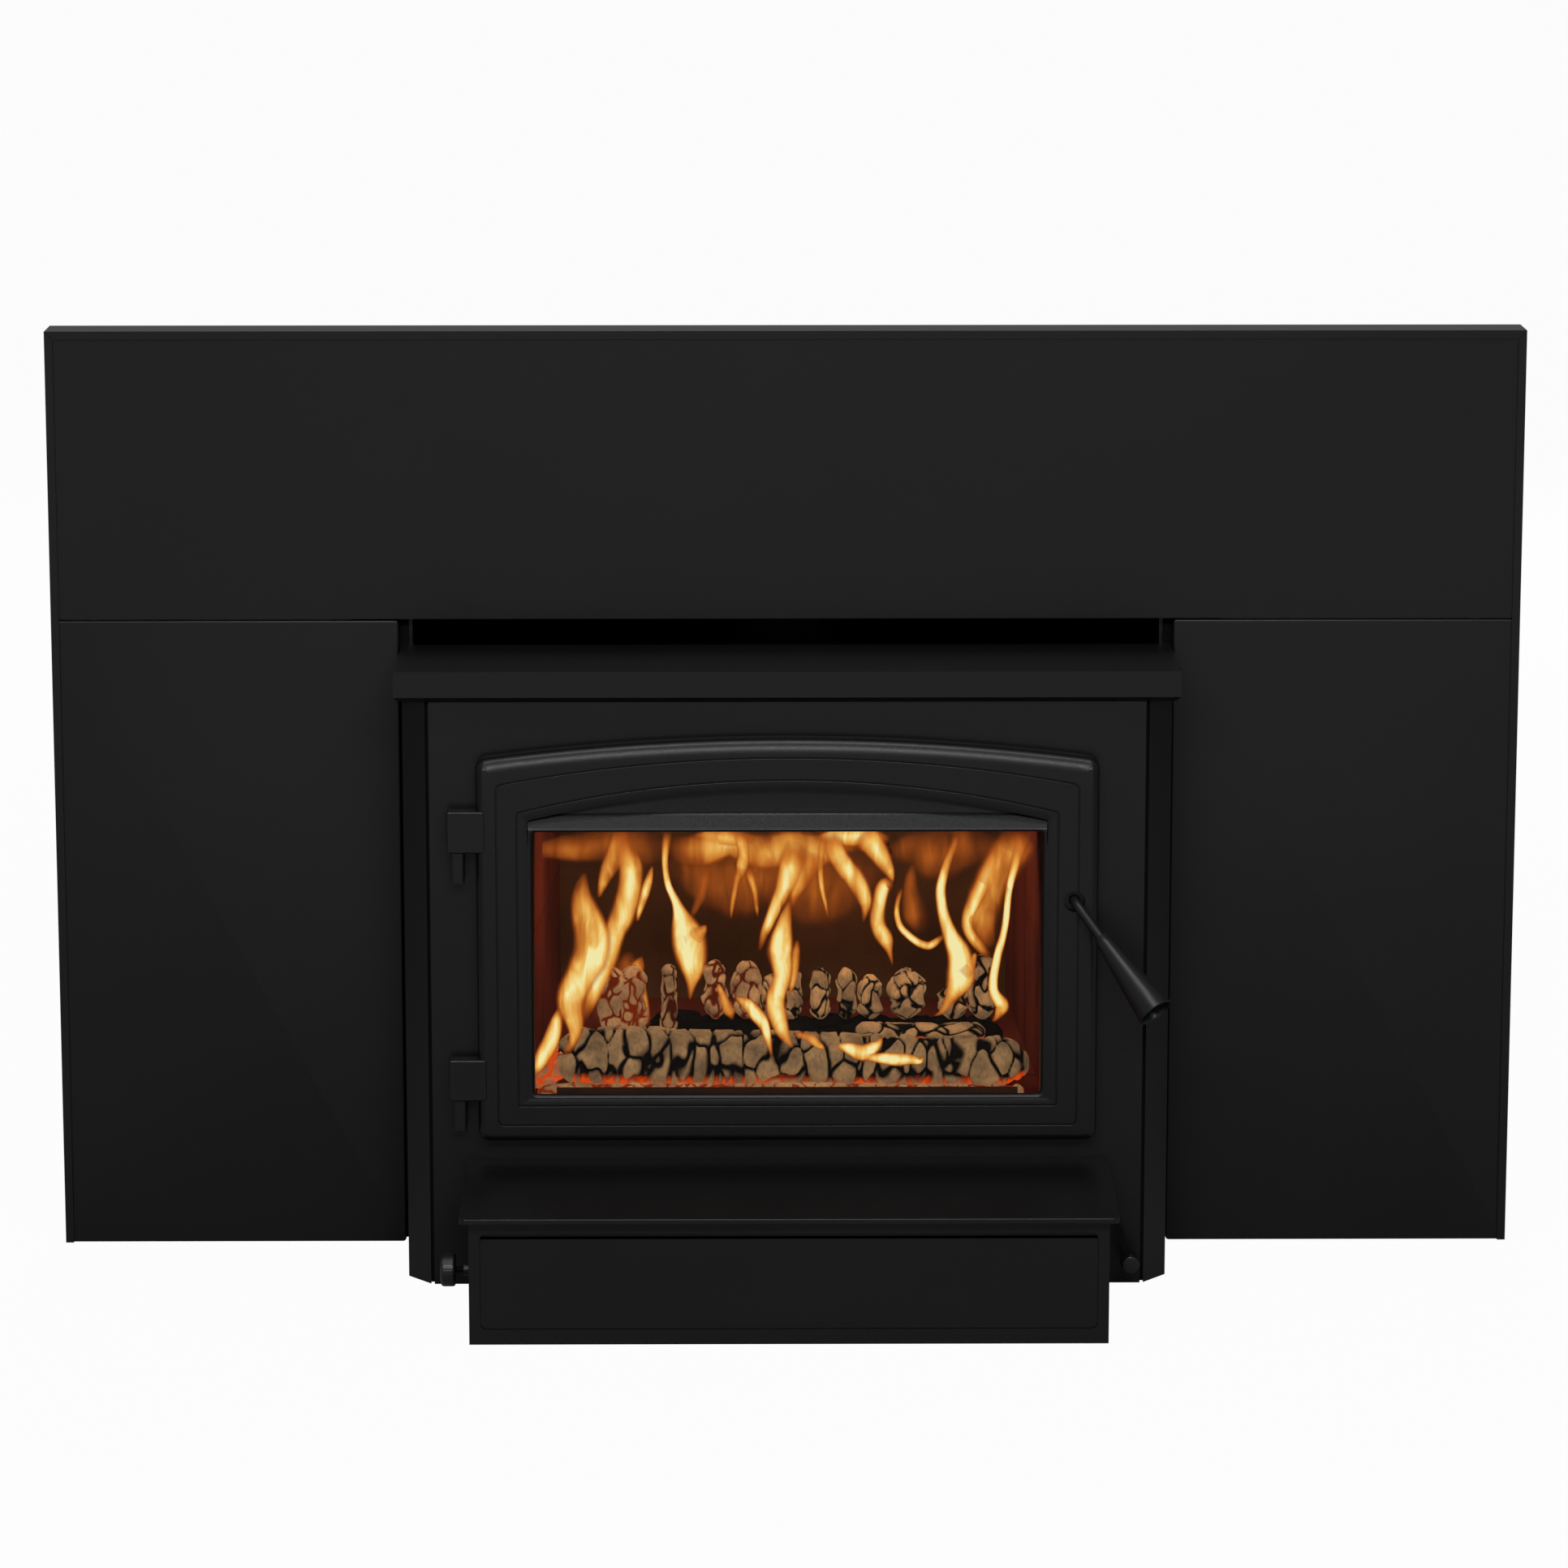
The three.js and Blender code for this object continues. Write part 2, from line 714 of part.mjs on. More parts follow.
function makeAirControl() {
  const parent = group();
  const { sheet } = intake;
  const left = intakeX - intake.wide / 2;
  const right = intakeX + intake.wide / 2;
  const high = floorUnder - SEAT;
  const low = high - intake.high;
  const port = intake.port / 2;
  const inFront = intakeFront + sheet;
  const duct = box(left, right, intakeFront, intakeRear, low, high)
    .subtract(box(left + sheet, right - sheet, inFront, intakeRear - sheet, low + sheet, high + 1))
    .subtract(box(intakeX - port, intakeX + port, intakeFront - 1, inFront + 1, air.z - port, air.z + port));
  add(parent, "air_intake_box", duct, blackPaint);

  // The damper is a flat sector on a shaft that passes through the front plate; the lever turns it.
  const barFront = yProud(air.barProud + air.barThick);
  const barBack = yProud(air.barProud);
  const sectorFront = plateBack + air.sectorBehind;
  const sectorBack = sectorFront + air.sectorThick;
  const aim = 180 + air.closed;
  const spread = arc(air.x, air.z, air.sector, aim - air.sectorHalf, aim + air.sectorHalf, 8);
  const damper = rodY(air.x, air.z, barFront - air.shaftOut, sectorBack, air.shaft)
    .add(rodY(air.x, air.z, sectorFront, sectorBack, air.hub, 20))
    .add(slabXZ([[air.x, air.z], ...spread], sectorFront, sectorBack));
  add(parent, "air_damper", damper, bareSteel);

  const lean = air.lean * degrees;
  const tipX = air.x + (air.z - air.tipZ) * Math.tan(lean);
  const sideX = (air.barWide / 2) * Math.cos(lean);
  const sideZ = (air.barWide / 2) * Math.sin(lean);
  const bar = [
    [air.x - sideX, air.z - sideZ],
    [tipX - sideX, air.tipZ - sideZ],
    [tipX + sideX, air.tipZ + sideZ],
    [air.x + sideX, air.z + sideZ],
  ];
  const lever = slabXZ(bar, barFront, barBack)
    .add(rodY(air.x, air.z, barFront, barBack, air.hub, 20))
    .add(rodY(tipX, air.tipZ, barFront, barBack, air.eye, 20))
    .subtract(rodY(air.x, air.z, barFront - 1, barBack + 1, air.shaft + SEAT, 24));
  add(parent, "air_control_lever", lever, blackPaint);
  const knobBack = barFront - SEAT;
  const knob = rodY(tipX, air.tipZ, knobBack - air.knobLong, knobBack, air.knob, 24);
  add(parent, "air_control_knob", knob, blackPlastic);
}

// ---- Door ----

function makeDoor() {
  const parent = group();
  const front = yProud(door.proud);
  const back = yProud(door.back);
  const nose = door.nose;

  // The casting: a slab whose front edge is rounded all round.
  const blank = slabXZ(archOutline(door), front + nose, back + 20 - nose, {
    bevelEnabled: true,
    bevelThickness: nose,
    bevelSize: nose,
    bevelOffset: -nose,
    bevelSegments: 3,
  });
  const wide = door.half + 1;
  let casting = blank.subtract(box(-wide, wide, back, back + 20, door.bottom - 1, door.apex + 1));

  // Window: straight through, with a chamfer that opens towards the viewer.
  const window = rounded(-glass.half, glass.half, glass.low, glass.high, glass.corner);
  casting = casting.subtract(slabXZ(window, front - 1, back + 1));
  casting = casting.subtract(
    slabXZ(window, front - 20, front, {
      bevelEnabled: true,
      bevelThickness: glass.chamfer,
      bevelSize: glass.chamfer,
      bevelSegments: 1,
    }),
  );

  // Lunette: an arched recess over the window, with a slope that comes forward to the window's edge.
  const scoop = archOutline({ bottom: glass.high, ...lunette }, 0, 16);
  const scoopProfile = [
    [front - 1, glass.high - 1],
    [front, glass.high - 1],
    [front, glass.high + glass.chamfer],
    [front + lunette.deep, glass.high + lunette.slope],
    [front + lunette.deep + lunette.lean, lunette.apex + 2],
    [front - 1, lunette.apex + 2],
  ];
  casting = casting.subtract(
    slabXZ(scoop, front - 1, front + lunette.deep + lunette.lean + 1).intersect(
      slabYZ(scoopProfile, -door.half, door.half),
    ),
  );

  for (const line of grooves)
    casting = casting.subtract(
      ringXZ(
        archOutline(line, groove.width / 2),
        archOutline(line, -groove.width / 2),
        front - 1,
        front + groove.deep,
      ),
    );

  // Rope channel in the rear face, and the latch's bore with its recess in the front.
  casting = casting.subtract(
    ringXZ(
      archOutline(door, SEAT - gasket.inset),
      archOutline(door, -gasket.inset - gasket.width - SEAT),
      back - gasket.channel,
      back + 1,
    ),
  );
  casting = casting
    .subtract(rodY(latch.x, latch.z, front - 1, back + 1, latch.rod + RUNNING))
    .subtract(rodY(latch.x, latch.z, front - 1, front + latch.recessDeep, latch.recess));

  // Hinge lugs, cast in one with the door, each bored from below for its pin.
  const axisY = yProud(hinge.proud);
  for (const top of hinge.tops) {
    const low = top - hinge.lug;
    const plan = rounded(
      hinge.x - lug.left,
      lug.inside - door.half,
      axisY - lug.deep / 2,
      axisY + lug.deep / 2,
      lug.corner,
    );
    casting = casting
      .add(slabXY(plan, low, top))
      .subtract(rodZ(hinge.x, axisY, low - 1, top - lug.cap, hinge.pin + SEAT));
  }
  add(parent, "door_frame", casting, castPaint);

  const seat = glass.lap;
  const glassFront = back + SEAT;
  const glassBack = glassFront + glass.thick;
  add(
    parent,
    "door_glass",
    slabXZ(
      rounded(-glass.half - seat, glass.half + seat, glass.low - seat, glass.high + seat, glass.corner),
      glassFront,
      glassBack,
    ),
    clearGlass,
  );
  add(
    parent,
    "door_gasket",
    ringXZ(
      archOutline(door, -gasket.inset),
      archOutline(door, -gasket.inset - gasket.width),
      back - gasket.channel + SEAT,
      plateFace - SEAT,
    ),
    ropeMaterial,
  );

  // Two bars hold the glass: each lies behind it and steps forward past its edge to the casting.
  const bars = [
    ["top", glass.high + seat, 1, retainer.above],
    ["bottom", glass.low - seat, -1, retainer.below],
  ];
  for (const [place, edge, outward, beyond] of bars) {
    const across = (y0, y1, from, to) =>
      box(-retainer.half, retainer.half, y0, y1, Math.min(from, to), Math.max(from, to));
    const end = edge + outward * beyond;
    const barFront = glassBack + SEAT;
    const bar = across(barFront, barFront + retainer.thick, edge - outward * retainer.grip, end).add(
      across(glassFront, barFront + 1, edge + outward * SEAT, end),
    );
    add(parent, "glass_retainer_" + place, bar, bareSteel);
  }
}

function makeHinges() {
  const parent = group();
  const axisY = yProud(hinge.proud);
  const b = hinge.barrel;
  const plan = rounded(hinge.x - b, hinge.x + b, axisY - b, plateFace - SEAT, hinge.barrelCorner);
  hinge.tops.forEach((top, i) => {
    const place = ["upper", "lower"][i];
    const low = top - hinge.lug;
    const barrelTop = low - RUNNING;
    const barrelLow = low - hinge.drop;
    const pin = rodZ(hinge.x, axisY, barrelLow + 1, top - lug.cap - SEAT, hinge.pin);
    add(parent, "hinge_pin_" + place, pin, bareSteel);
    const barrel = slabXY(plan, barrelLow, barrelTop).subtract(
      rodZ(hinge.x, axisY, barrelLow - 1, barrelTop + 1, hinge.pin + RUNNING),
    );
    add(parent, "hinge_barrel_" + place, barrel, castPaint);
  });
}

// ---- Latch and handle ----

function makeLatch() {
  const parent = group();
  const along = new THREE.Vector3(...latch.direction).normalize();
  const corner = new THREE.Vector3(latch.x, yProud(latch.cornerProud), latch.z);
  const at = (distance) => corner.clone().addScaledVector(along, distance);
  const tail = new THREE.Vector3(latch.x, yProud(latch.tailProud), latch.z);

  // The rod is the latch's shaft, bent at the door's face to carry the grip.
  const path = new THREE.CurvePath();
  const beforeBend = corner.clone().add(new THREE.Vector3(0, latch.bend, 0));
  path.add(new THREE.LineCurve3(tail, beforeBend));
  path.add(new THREE.QuadraticBezierCurve3(beforeBend, corner, at(latch.bend)));
  const rodEnd = latch.reach - grip.cup - grip.cupFloor;
  path.add(new THREE.LineCurve3(at(latch.bend), at(rodEnd)));
  const section = shapeOf(arc(0, 0, latch.rod, 0, 360, 14).slice(0, -1));
  const bent = new THREE.ExtrudeGeometry(section, { steps: 18, bevelEnabled: false, extrudePath: path });
  add(parent, "handle_rod", solid(bent), blackPaint);

  // The grip is a hollow cone: bored for the rod, with a deep cup in its wide end.
  const long = latch.reach - latch.bare;
  const cupFrom = long - grip.cup;
  const boreEnd = cupFrom - grip.cupFloor;
  const bore = latch.rod + SEAT;
  const radiusAt = (s) => grip.small + ((grip.large - grip.small) * s) / long;
  const turned = (outline, segments) => {
    const points = outline.map(([r, s]) => new THREE.Vector2(r, s));
    const geometry = new THREE.LatheGeometry(points, segments);
    geometry.applyQuaternion(new THREE.Quaternion().setFromUnitVectors(new THREE.Vector3(0, 1, 0), along));
    const start = at(latch.bare);
    geometry.translate(start.x, start.y, start.z);
    return solid(geometry);
  };
  const sleeve = [
    [bore, 0],
    [grip.small, 0],
    [grip.large, long],
    [grip.large - grip.wallEnd, long],
    [radiusAt(cupFrom) - grip.wallEnd, cupFrom],
    [screw.bore, cupFrom],
    [screw.bore, boreEnd + SEAT],
    [bore, boreEnd + SEAT],
    [bore, 0],
  ];
  add(parent, "handle_grip", turned(sleeve, 28), blackPaint);
  const headFrom = cupFrom + SEAT;
  const headTo = headFrom + screw.headLong;
  const bolt = [
    [0, boreEnd + screw.tail],
    [screw.bore - SEAT, boreEnd + screw.tail],
    [screw.bore - SEAT, headFrom],
    [screw.head, headFrom],
    [screw.head, headTo],
    [screw.crown, headTo + screw.crownLong],
    [0, headTo + screw.crownLong],
  ];
  add(parent, "grip_screw", turned(bolt, 20), bareSteel);

  // The latch's tongue points up at rest; pushing the handle down turns it behind the front plate.
  // Its hub is flat on the side next to the plate's opening, which it has to pass.
  const camFront = plateBack + cam.behind;
  const camBack = camFront + cam.thick;
  const camSide = latch.x + cam.half;
  const tongue = box(latch.x - cam.half, camSide, camFront, camBack, latch.z, latch.z + cam.long)
    .add(rodY(latch.x, latch.z, camFront, camBack, cam.hub, 20))
    .intersect(box(0, camSide, camFront, camBack, 0, surround.height))
    .subtract(rodY(latch.x, latch.z, camFront - 1, camBack + 1, latch.rod + SEAT, 20));
  add(parent, "latch_cam", tongue, bareSteel);
}

// ---- Ash lip and blower ----

function makeAshLip() {
  const parent = group();
  const half = housing.half + 9.1;
  const front = yProud(housing.proud + 17);
  const n = lip.nose;
  const profile = [
    [plateFace - SEAT, lipUnder],
    [plateFace - SEAT, lip.top],
    ...arc(front + n, lip.top - n, n, 90, 180, 3),
    ...arc(front + n, lipUnder + n, n, 180, 270, 3),
  ].reverse();
  // Seen from above its sides lean in a little towards the front, where the corners are rounded.
  const back = plateFace - SEAT;
  const narrow = half - lip.taper;
  const turn = front + lip.corner;
  const plan = [
    [half, back],
    [-half, back],
    ...arc(lip.corner - narrow, turn, lip.corner, 180, 270, 3),
    ...arc(narrow - lip.corner, turn, lip.corner, 270, 360, 3),
  ];
  const plate = slabYZ(profile, -half, half).intersect(slabXY(plan, lipUnder - 1, lip.top + 1));
  add(parent, "ash_lip", plate, blackPaint);
}

function makeBlowerBox() {
  const parent = group();
  const { half, sheet, flange, foot, corner } = housing;
  const face = housingFront;
  const back = plateFace - SEAT;
  const windowTop = blowerTop - housing.head;
  const opening = rounded(flange - half, half - flange, foot, windowTop, corner);
  let shell = box(-half, half, face, back, 0, blowerTop)
    .subtract(box(sheet - half, half - sheet, face + sheet, back + 1, sheet, blowerTop - sheet))
    .subtract(slabXZ(opening, face - 1, face + sheet + 1));
  // Air slots in both ends, near the front.
  for (let i = 0; i < housing.vents; i++) {
    const z = housing.ventLow + i * housing.ventPitch;
    shell = shell.subtract(
      box(-half - 1, half + 1, face + housing.ventFrom, face + housing.ventTo, z, z + housing.ventHigh),
    );
  }
  shell = shell.subtract(rodX(speedY, speed.z, -half - 1, sheet + 1 - half, speed.bushing + SEAT, 20));
  add(parent, "blower_housing", shell, blackPaint);

  // The cover closes the frame from behind: a flat rim with a raised face that fills the opening.
  const rimFront = face + sheet + SEAT;
  const rimEdge = half - flange + cover.lap;
  const raisedEdge = half - flange - RUNNING;
  const rim = rounded(-rimEdge, rimEdge, foot - cover.lap, windowTop + cover.lap, corner);
  const raised = rounded(-raisedEdge, raisedEdge, foot + RUNNING, windowTop - cover.topGap, corner);
  const panel = slabXZ(rim, rimFront, rimFront + cover.sheet).add(
    slabXZ(raised, face + cover.proudStep, rimFront + 1),
  );
  add(parent, "blower_cover", panel, blackPaint);

  const b = blower;
  const footTop = fanZ - b.motorRadius + 8;
  const motor = rodX(fanY, fanZ, -b.motorHalf, b.motorHalf, b.motorRadius, 28)
    .add(box(-b.footHalf, b.footHalf, fanY - b.footDeep / 2, fanY + b.footDeep / 2, sheet + SEAT, footTop))
    .subtract(rodX(fanY, fanZ, -b.motorHalf - 1, b.motorHalf + 1, b.shaft + RUNNING, 20));
  add(parent, "blower_motor", motor, bareSteel);
  const shaftHalf = b.motorHalf + b.wheelGap + b.wheelLong;
  add(parent, "motor_shaft", rodX(fanY, fanZ, -shaftHalf, shaftHalf, b.shaft, 20), bareSteel);

  // A fan wheel: a hub and disc next to the motor, and blades held by an outer ring.
  const from = b.motorHalf + b.wheelGap;
  const to = from + b.wheelLong;
  const R = b.wheelRadius;
  const ring = rodX(fanY, fanZ, to - b.ringLong, to, R, 24).subtract(
    rodX(fanY, fanZ, to - b.ringLong - 1, to + 1, R - b.ring, 24),
  );
  let wheel = rodX(fanY, fanZ, from, from + b.disc, R, 24)
    .add(rodX(fanY, fanZ, from, from + b.hubLong, b.shaft + b.hubWall, 20))
    .add(ring);
  for (let i = 0; i < b.blades; i++) {
    const blade = box(from + 1, to - 1, -b.blade / 2, b.blade / 2, R - b.ring, R - 1)
      .rotate([(360 * i) / b.blades + 3, 0, 0])
      .translate([0, fanY, fanZ]);
    wheel = wheel.add(blade);
  }
  wheel = wheel.subtract(rodX(fanY, fanZ, from - 1, to + 1, b.shaft + SEAT, 20));
  addPair(parent, "fan_wheel_SIDE", wheel, bareSteel);
}

function makeSpeedControl() {
  const parent = group();
  const s = speed;
  const wallOut = -housing.half;
  const wallIn = wallOut + housing.sheet;
  const half = s.box / 2;
  const bodyX = wallIn + SEAT;
  const control = box(bodyX, bodyX + s.boxLong, speedY - half, speedY + half, s.z - half, s.z + half)
    .add(rodX(speedY, s.z, wallOut - s.bushingLong, bodyX + 1, s.bushing, 20))
    .add(rodX(speedY, s.z, wallOut - s.nutLong, wallOut - SEAT, s.nut, 6))
    .subtract(rodX(speedY, s.z, wallOut - s.bushingLong - 1, bodyX + s.shaftEnd, s.shaft + RUNNING, 20));
  add(parent, "speed_control", control, bareSteel);
  const knobFrom = wallOut - s.stand;
  const knob = rodX(speedY, s.z, knobFrom - s.knobLong, knobFrom, s.knob, 28).add(
    rodX(speedY, s.z, knobFrom - 1, bodyX + s.shaftEnd - RUNNING, s.shaft, 20),
  );
  add(parent, "speed_knob", knob, blackPlastic);
}

makeSurround();
makeCasing();
makeFrontPlate();
makeHood();
makeFirebox();
makeLining();
makeAirControl();
makeDoor();
makeHinges();
makeLatch();
makeAshLip();
makeBlowerBox();
makeSpeedControl();

export default insert;
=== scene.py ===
"""Looks of a fireplace insert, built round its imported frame.

Lengths in this script are millimetres unless a name ends in _m. X runs right, Y into the wall, Z up.
"""
import math
import random

import bpy
from mathutils import Euler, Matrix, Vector, noise


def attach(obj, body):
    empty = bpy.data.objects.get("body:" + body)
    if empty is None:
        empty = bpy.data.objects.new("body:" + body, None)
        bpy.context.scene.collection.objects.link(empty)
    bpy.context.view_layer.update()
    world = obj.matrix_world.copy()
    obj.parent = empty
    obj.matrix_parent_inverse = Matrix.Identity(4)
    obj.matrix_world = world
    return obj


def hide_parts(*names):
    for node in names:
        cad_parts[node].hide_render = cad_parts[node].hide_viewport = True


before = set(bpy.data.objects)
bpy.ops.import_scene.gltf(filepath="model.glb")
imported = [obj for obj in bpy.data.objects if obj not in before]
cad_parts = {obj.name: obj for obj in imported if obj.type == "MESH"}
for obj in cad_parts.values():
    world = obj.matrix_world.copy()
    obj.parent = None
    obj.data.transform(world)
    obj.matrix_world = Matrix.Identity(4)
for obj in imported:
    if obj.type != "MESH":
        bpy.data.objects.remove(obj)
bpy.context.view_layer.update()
scene = bpy.context.scene
MM = 0.001

# ---- Camera ----

IMAGE = 1932  # pixels each way
FOCAL = 7135.0  # pixels
CAMERA = Vector((-40.5, -4981.6, 1385.5))
PITCH = math.radians(11.139)
YAW = math.radians(0.4485)

camera_data = bpy.data.cameras.new("camera")
camera_data.sensor_width = 36.0
camera_data.lens = 36.0 * FOCAL / IMAGE
camera_data.clip_end = 60.0
camera = bpy.data.objects.new("camera", camera_data)
camera.location = CAMERA * MM
camera.rotation_euler = Euler((math.pi / 2 - PITCH, 0.0, -YAW))
scene.collection.objects.link(camera)
scene.camera = camera
TO_WORLD = camera.rotation_euler.to_matrix()


def seen_at(px, py, y):
    """The point of the plane Y = y that shows at a pixel of the picture."""
    ray = TO_WORLD @ Vector(((px - IMAGE / 2) / FOCAL, (IMAGE / 2 - py) / FOCAL, -1.0))
    return CAMERA + ray * ((y - CAMERA.y) / ray.y)


# ---- Materials ----


def linear(r, g, b):
    """A colour given in the 0-255 of a screen, as the linear values that shaders take."""
    channel = lambda v: v / 12.92 if v <= 0.04045 else ((v + 0.055) / 1.055) ** 2.4
    return tuple(channel(v / 255) for v in (r, g, b)) + (1.0,)


class Shader:
    """A material and short ways to add nodes to it."""

    def __init__(self, name):
        self.material = bpy.data.materials.new(name)
        self.material.use_nodes = True
        self.tree = self.material.node_tree
        self.tree.nodes.clear()
        self.output = self.node("OutputMaterial")

    def node(self, kind, inputs=None, **settings):
        made = self.tree.nodes.new("ShaderNode" + kind)
        for key, value in settings.items():
            setattr(made, key, value)
        for key, value in (inputs or {}).items():
            if isinstance(value, bpy.types.NodeSocket):
                self.tree.links.new(value, made.inputs[key])
            else:
                made.inputs[key].default_value = value
        return made

    def coords(self, scale=(1, 1, 1)):
        where = self.node("TexCoord").outputs["Object"]
        return self.node("Mapping", {"Vector": where, "Scale": scale}).outputs["Vector"]

    def noise(self, scale, detail=3.0, stretch=(1, 1, 1), distortion=0.0):
        return self.node(
            "TexNoise",
            {"Vector": self.coords(stretch), "Scale": scale, "Detail": detail, "Distortion": distortion},
        ).outputs["Fac"]

    def ramp(self, value, *stops):
        made = self.node("ValToRGB", {"Fac": value})
        elements = made.color_ramp.elements
        while len(elements) < len(stops):
            elements.new(0.5)
        for element, (at, colour) in zip(elements, stops):
            element.position = at
            element.color = colour if isinstance(colour, tuple) else (colour,) * 3 + (1.0,)
        return made.outputs["Color"]

    def math(self, operation, a, b=0.0, c=0.0, clamp=False):
        return self.node("Math", {0: a, 1: b, 2: c}, operation=operation, use_clamp=clamp).outputs[0]

    def mix(self, factor, a, b, blend="MIX"):
        made = self.node("Mix", data_type="RGBA", blend_type=blend)
        for socket, value in ((made.inputs[0], factor), (made.inputs[6], a), (made.inputs[7], b)):
            if isinstance(value, bpy.types.NodeSocket):
                self.tree.links.new(value, socket)
            else:
                socket.default_value = value
        return made.outputs[2]

    def bump(self, height, distance, strength=1.0, before=None):
        inputs = {"Height": height, "Distance": distance * MM, "Strength": strength}
        if before:
            inputs["Normal"] = before
        return self.node("Bump", inputs).outputs["Normal"]

    def surface(self, shader):
        self.tree.links.new(shader.outputs[0], self.output.inputs["Surface"])
        return self.material


def paint(name, colour, rough, grain, depth, gloss=0.25, uneven=0.12):
    """Matt stove paint: fine grain, and a faint unevenness of colour and sheen."""
    s = Shader(name)
    cloud = s.noise(9.0, 4.0)
    dark = tuple(v * (1 - uneven) for v in colour[:3]) + (1.0,)
    pale = tuple(v * (1 + uneven) for v in colour[:3]) + (1.0,)
    base = s.ramp(cloud, (0.3, dark), (0.7, pale))
    speckle = s.noise(grain, 2.0)
    roughness = s.ramp(speckle, (0.3, rough - 0.06), (0.7, rough + 0.06))
    normal = s.bump(speckle, depth, 0.6)
    return s.surface(
        s.node(
            "BsdfPrincipled",
            {
                "Base Color": base,
                "Roughness": roughness,
                "Normal": normal,
                "Specular IOR Level": gloss,
            },
        )
    )


SHEET_PAINT = paint("sheet_paint", linear(12, 12, 12.5), 0.36, 1400.0, 0.02, gloss=0.25)
CAST_PAINT = paint("cast_paint", linear(13, 13, 13.5), 0.34, 700.0, 0.06, gloss=0.25)
HANDLE_PAINT = paint("handle_paint", linear(22, 22, 22.5), 0.34, 1600.0, 0.01, gloss=0.25)
# Darker, duller paint: the own colour of the lever and the inside parts, and painted shade on the surround brackets in
# the recess and on the strips behind the seams.
INNER_AND_SHADE_PAINT = paint("inner_and_shade_paint", linear(9, 9, 9), 0.8, 900.0, 0.05, gloss=0.1)
# Dead black without sheen: painted shade, for the gap line over the blower cover.
PAINTED_GAP_SHADE = paint("painted_gap_shade", linear(1, 1, 1), 0.95, 900.0, 0.02, gloss=0.0)


def steel(name, colour, rough, soot=0.3):
    s = Shader(name)
    streak = s.noise(500.0, 3.0, stretch=(0.05, 1, 1))
    stain = s.noise(25.0, 4.0)
    base = s.mix(s.ramp(stain, (0.45, 0.0), (0.8, soot)), colour, linear(40, 34, 30))
    roughness = s.ramp(streak, (0.3, rough - 0.08), (0.7, rough + 0.1))
    return s.surface(
        s.node(
            "BsdfPrincipled",
            {
                "Base Color": base,
                "Roughness": roughness,
                "Metallic": 1.0,
                "Normal": s.bump(streak, 0.02, 0.4),
            },
        )
    )


STEEL = steel("dull_steel", linear(150, 148, 145), 0.36)
HOT_STEEL = steel("heated_steel", linear(96, 84, 74), 0.55, soot=0.8)
TINTED_STEEL = steel("tinted_steel", linear(74, 46, 32), 0.6, soot=0.7)


def firebrick(name, colour, soot_colour):
    s = Shader(name)
    grit = s.noise(260.0, 6.0)
    cloud = s.noise(11.0, 5.0)
    base = s.mix(s.ramp(cloud, (0.35, 0.15), (0.75, 0.85)), colour, soot_colour)
    base = s.mix(s.ramp(grit, (0.55, 0.0), (0.75, 0.35)), base, linear(24, 14, 10))
    normal = s.bump(grit, 0.5, 0.7, s.bump(cloud, 1.5, 0.4))
    return s.surface(
        s.node("BsdfPrincipled", {"Base Color": base, "Roughness": 0.95, "Normal": normal, "Specular IOR Level": 0.1})
    )


BRICK = firebrick("sooted_brick", linear(112, 44, 30), linear(46, 20, 14))
BACK_BRICK = firebrick("darkened_brick", linear(92, 62, 38), linear(44, 28, 16))
BOARD = firebrick("baffle_board", linear(150, 140, 124), linear(70, 60, 50))


def ceramic_glass():
    s = Shader("ceramic_glass")
    haze = s.noise(14.0, 3.0)
    rough = s.ramp(haze, (0.3, 0.03), (0.8, 0.07))
    return s.surface(
        s.node("BsdfPrincipled", {"Base Color": linear(30, 26, 24), "Roughness": rough, "Alpha": 0.06, "IOR": 1.5})
    )


GLASS = ceramic_glass()


def plastic(name, colour, rough):
    s = Shader(name)
    grain = s.noise(1800.0, 2.0)
    roughness = s.ramp(grain, (0.3, rough - 0.05), (0.7, rough + 0.05))
    return s.surface(
        s.node(
            "BsdfPrincipled",
            {"Base Color": colour, "Roughness": roughness, "Normal": s.bump(grain, 0.02, 0.5), "Specular IOR Level": 0.4},
        )
    )


KNOB_PLASTIC = plastic("knob_plastic", linear(18, 18, 19), 0.32)
DIAL_PLASTIC = plastic("dial_plastic", linear(20, 20, 21), 0.36)


def rope():
    s = Shader("rope_gasket")
    braid = s.node("TexVoronoi", {"Vector": s.coords(), "Scale": 420.0}).outputs["Distance"]
    base = s.ramp(braid, (0.1, linear(70, 68, 64)), (0.6, linear(26, 25, 24)))
    return s.surface(
        s.node("BsdfPrincipled", {"Base Color": base, "Roughness": 0.95, "Normal": s.bump(braid, 0.8, 0.8), "Specular IOR Level": 0.1})
    )


ROPE = rope()

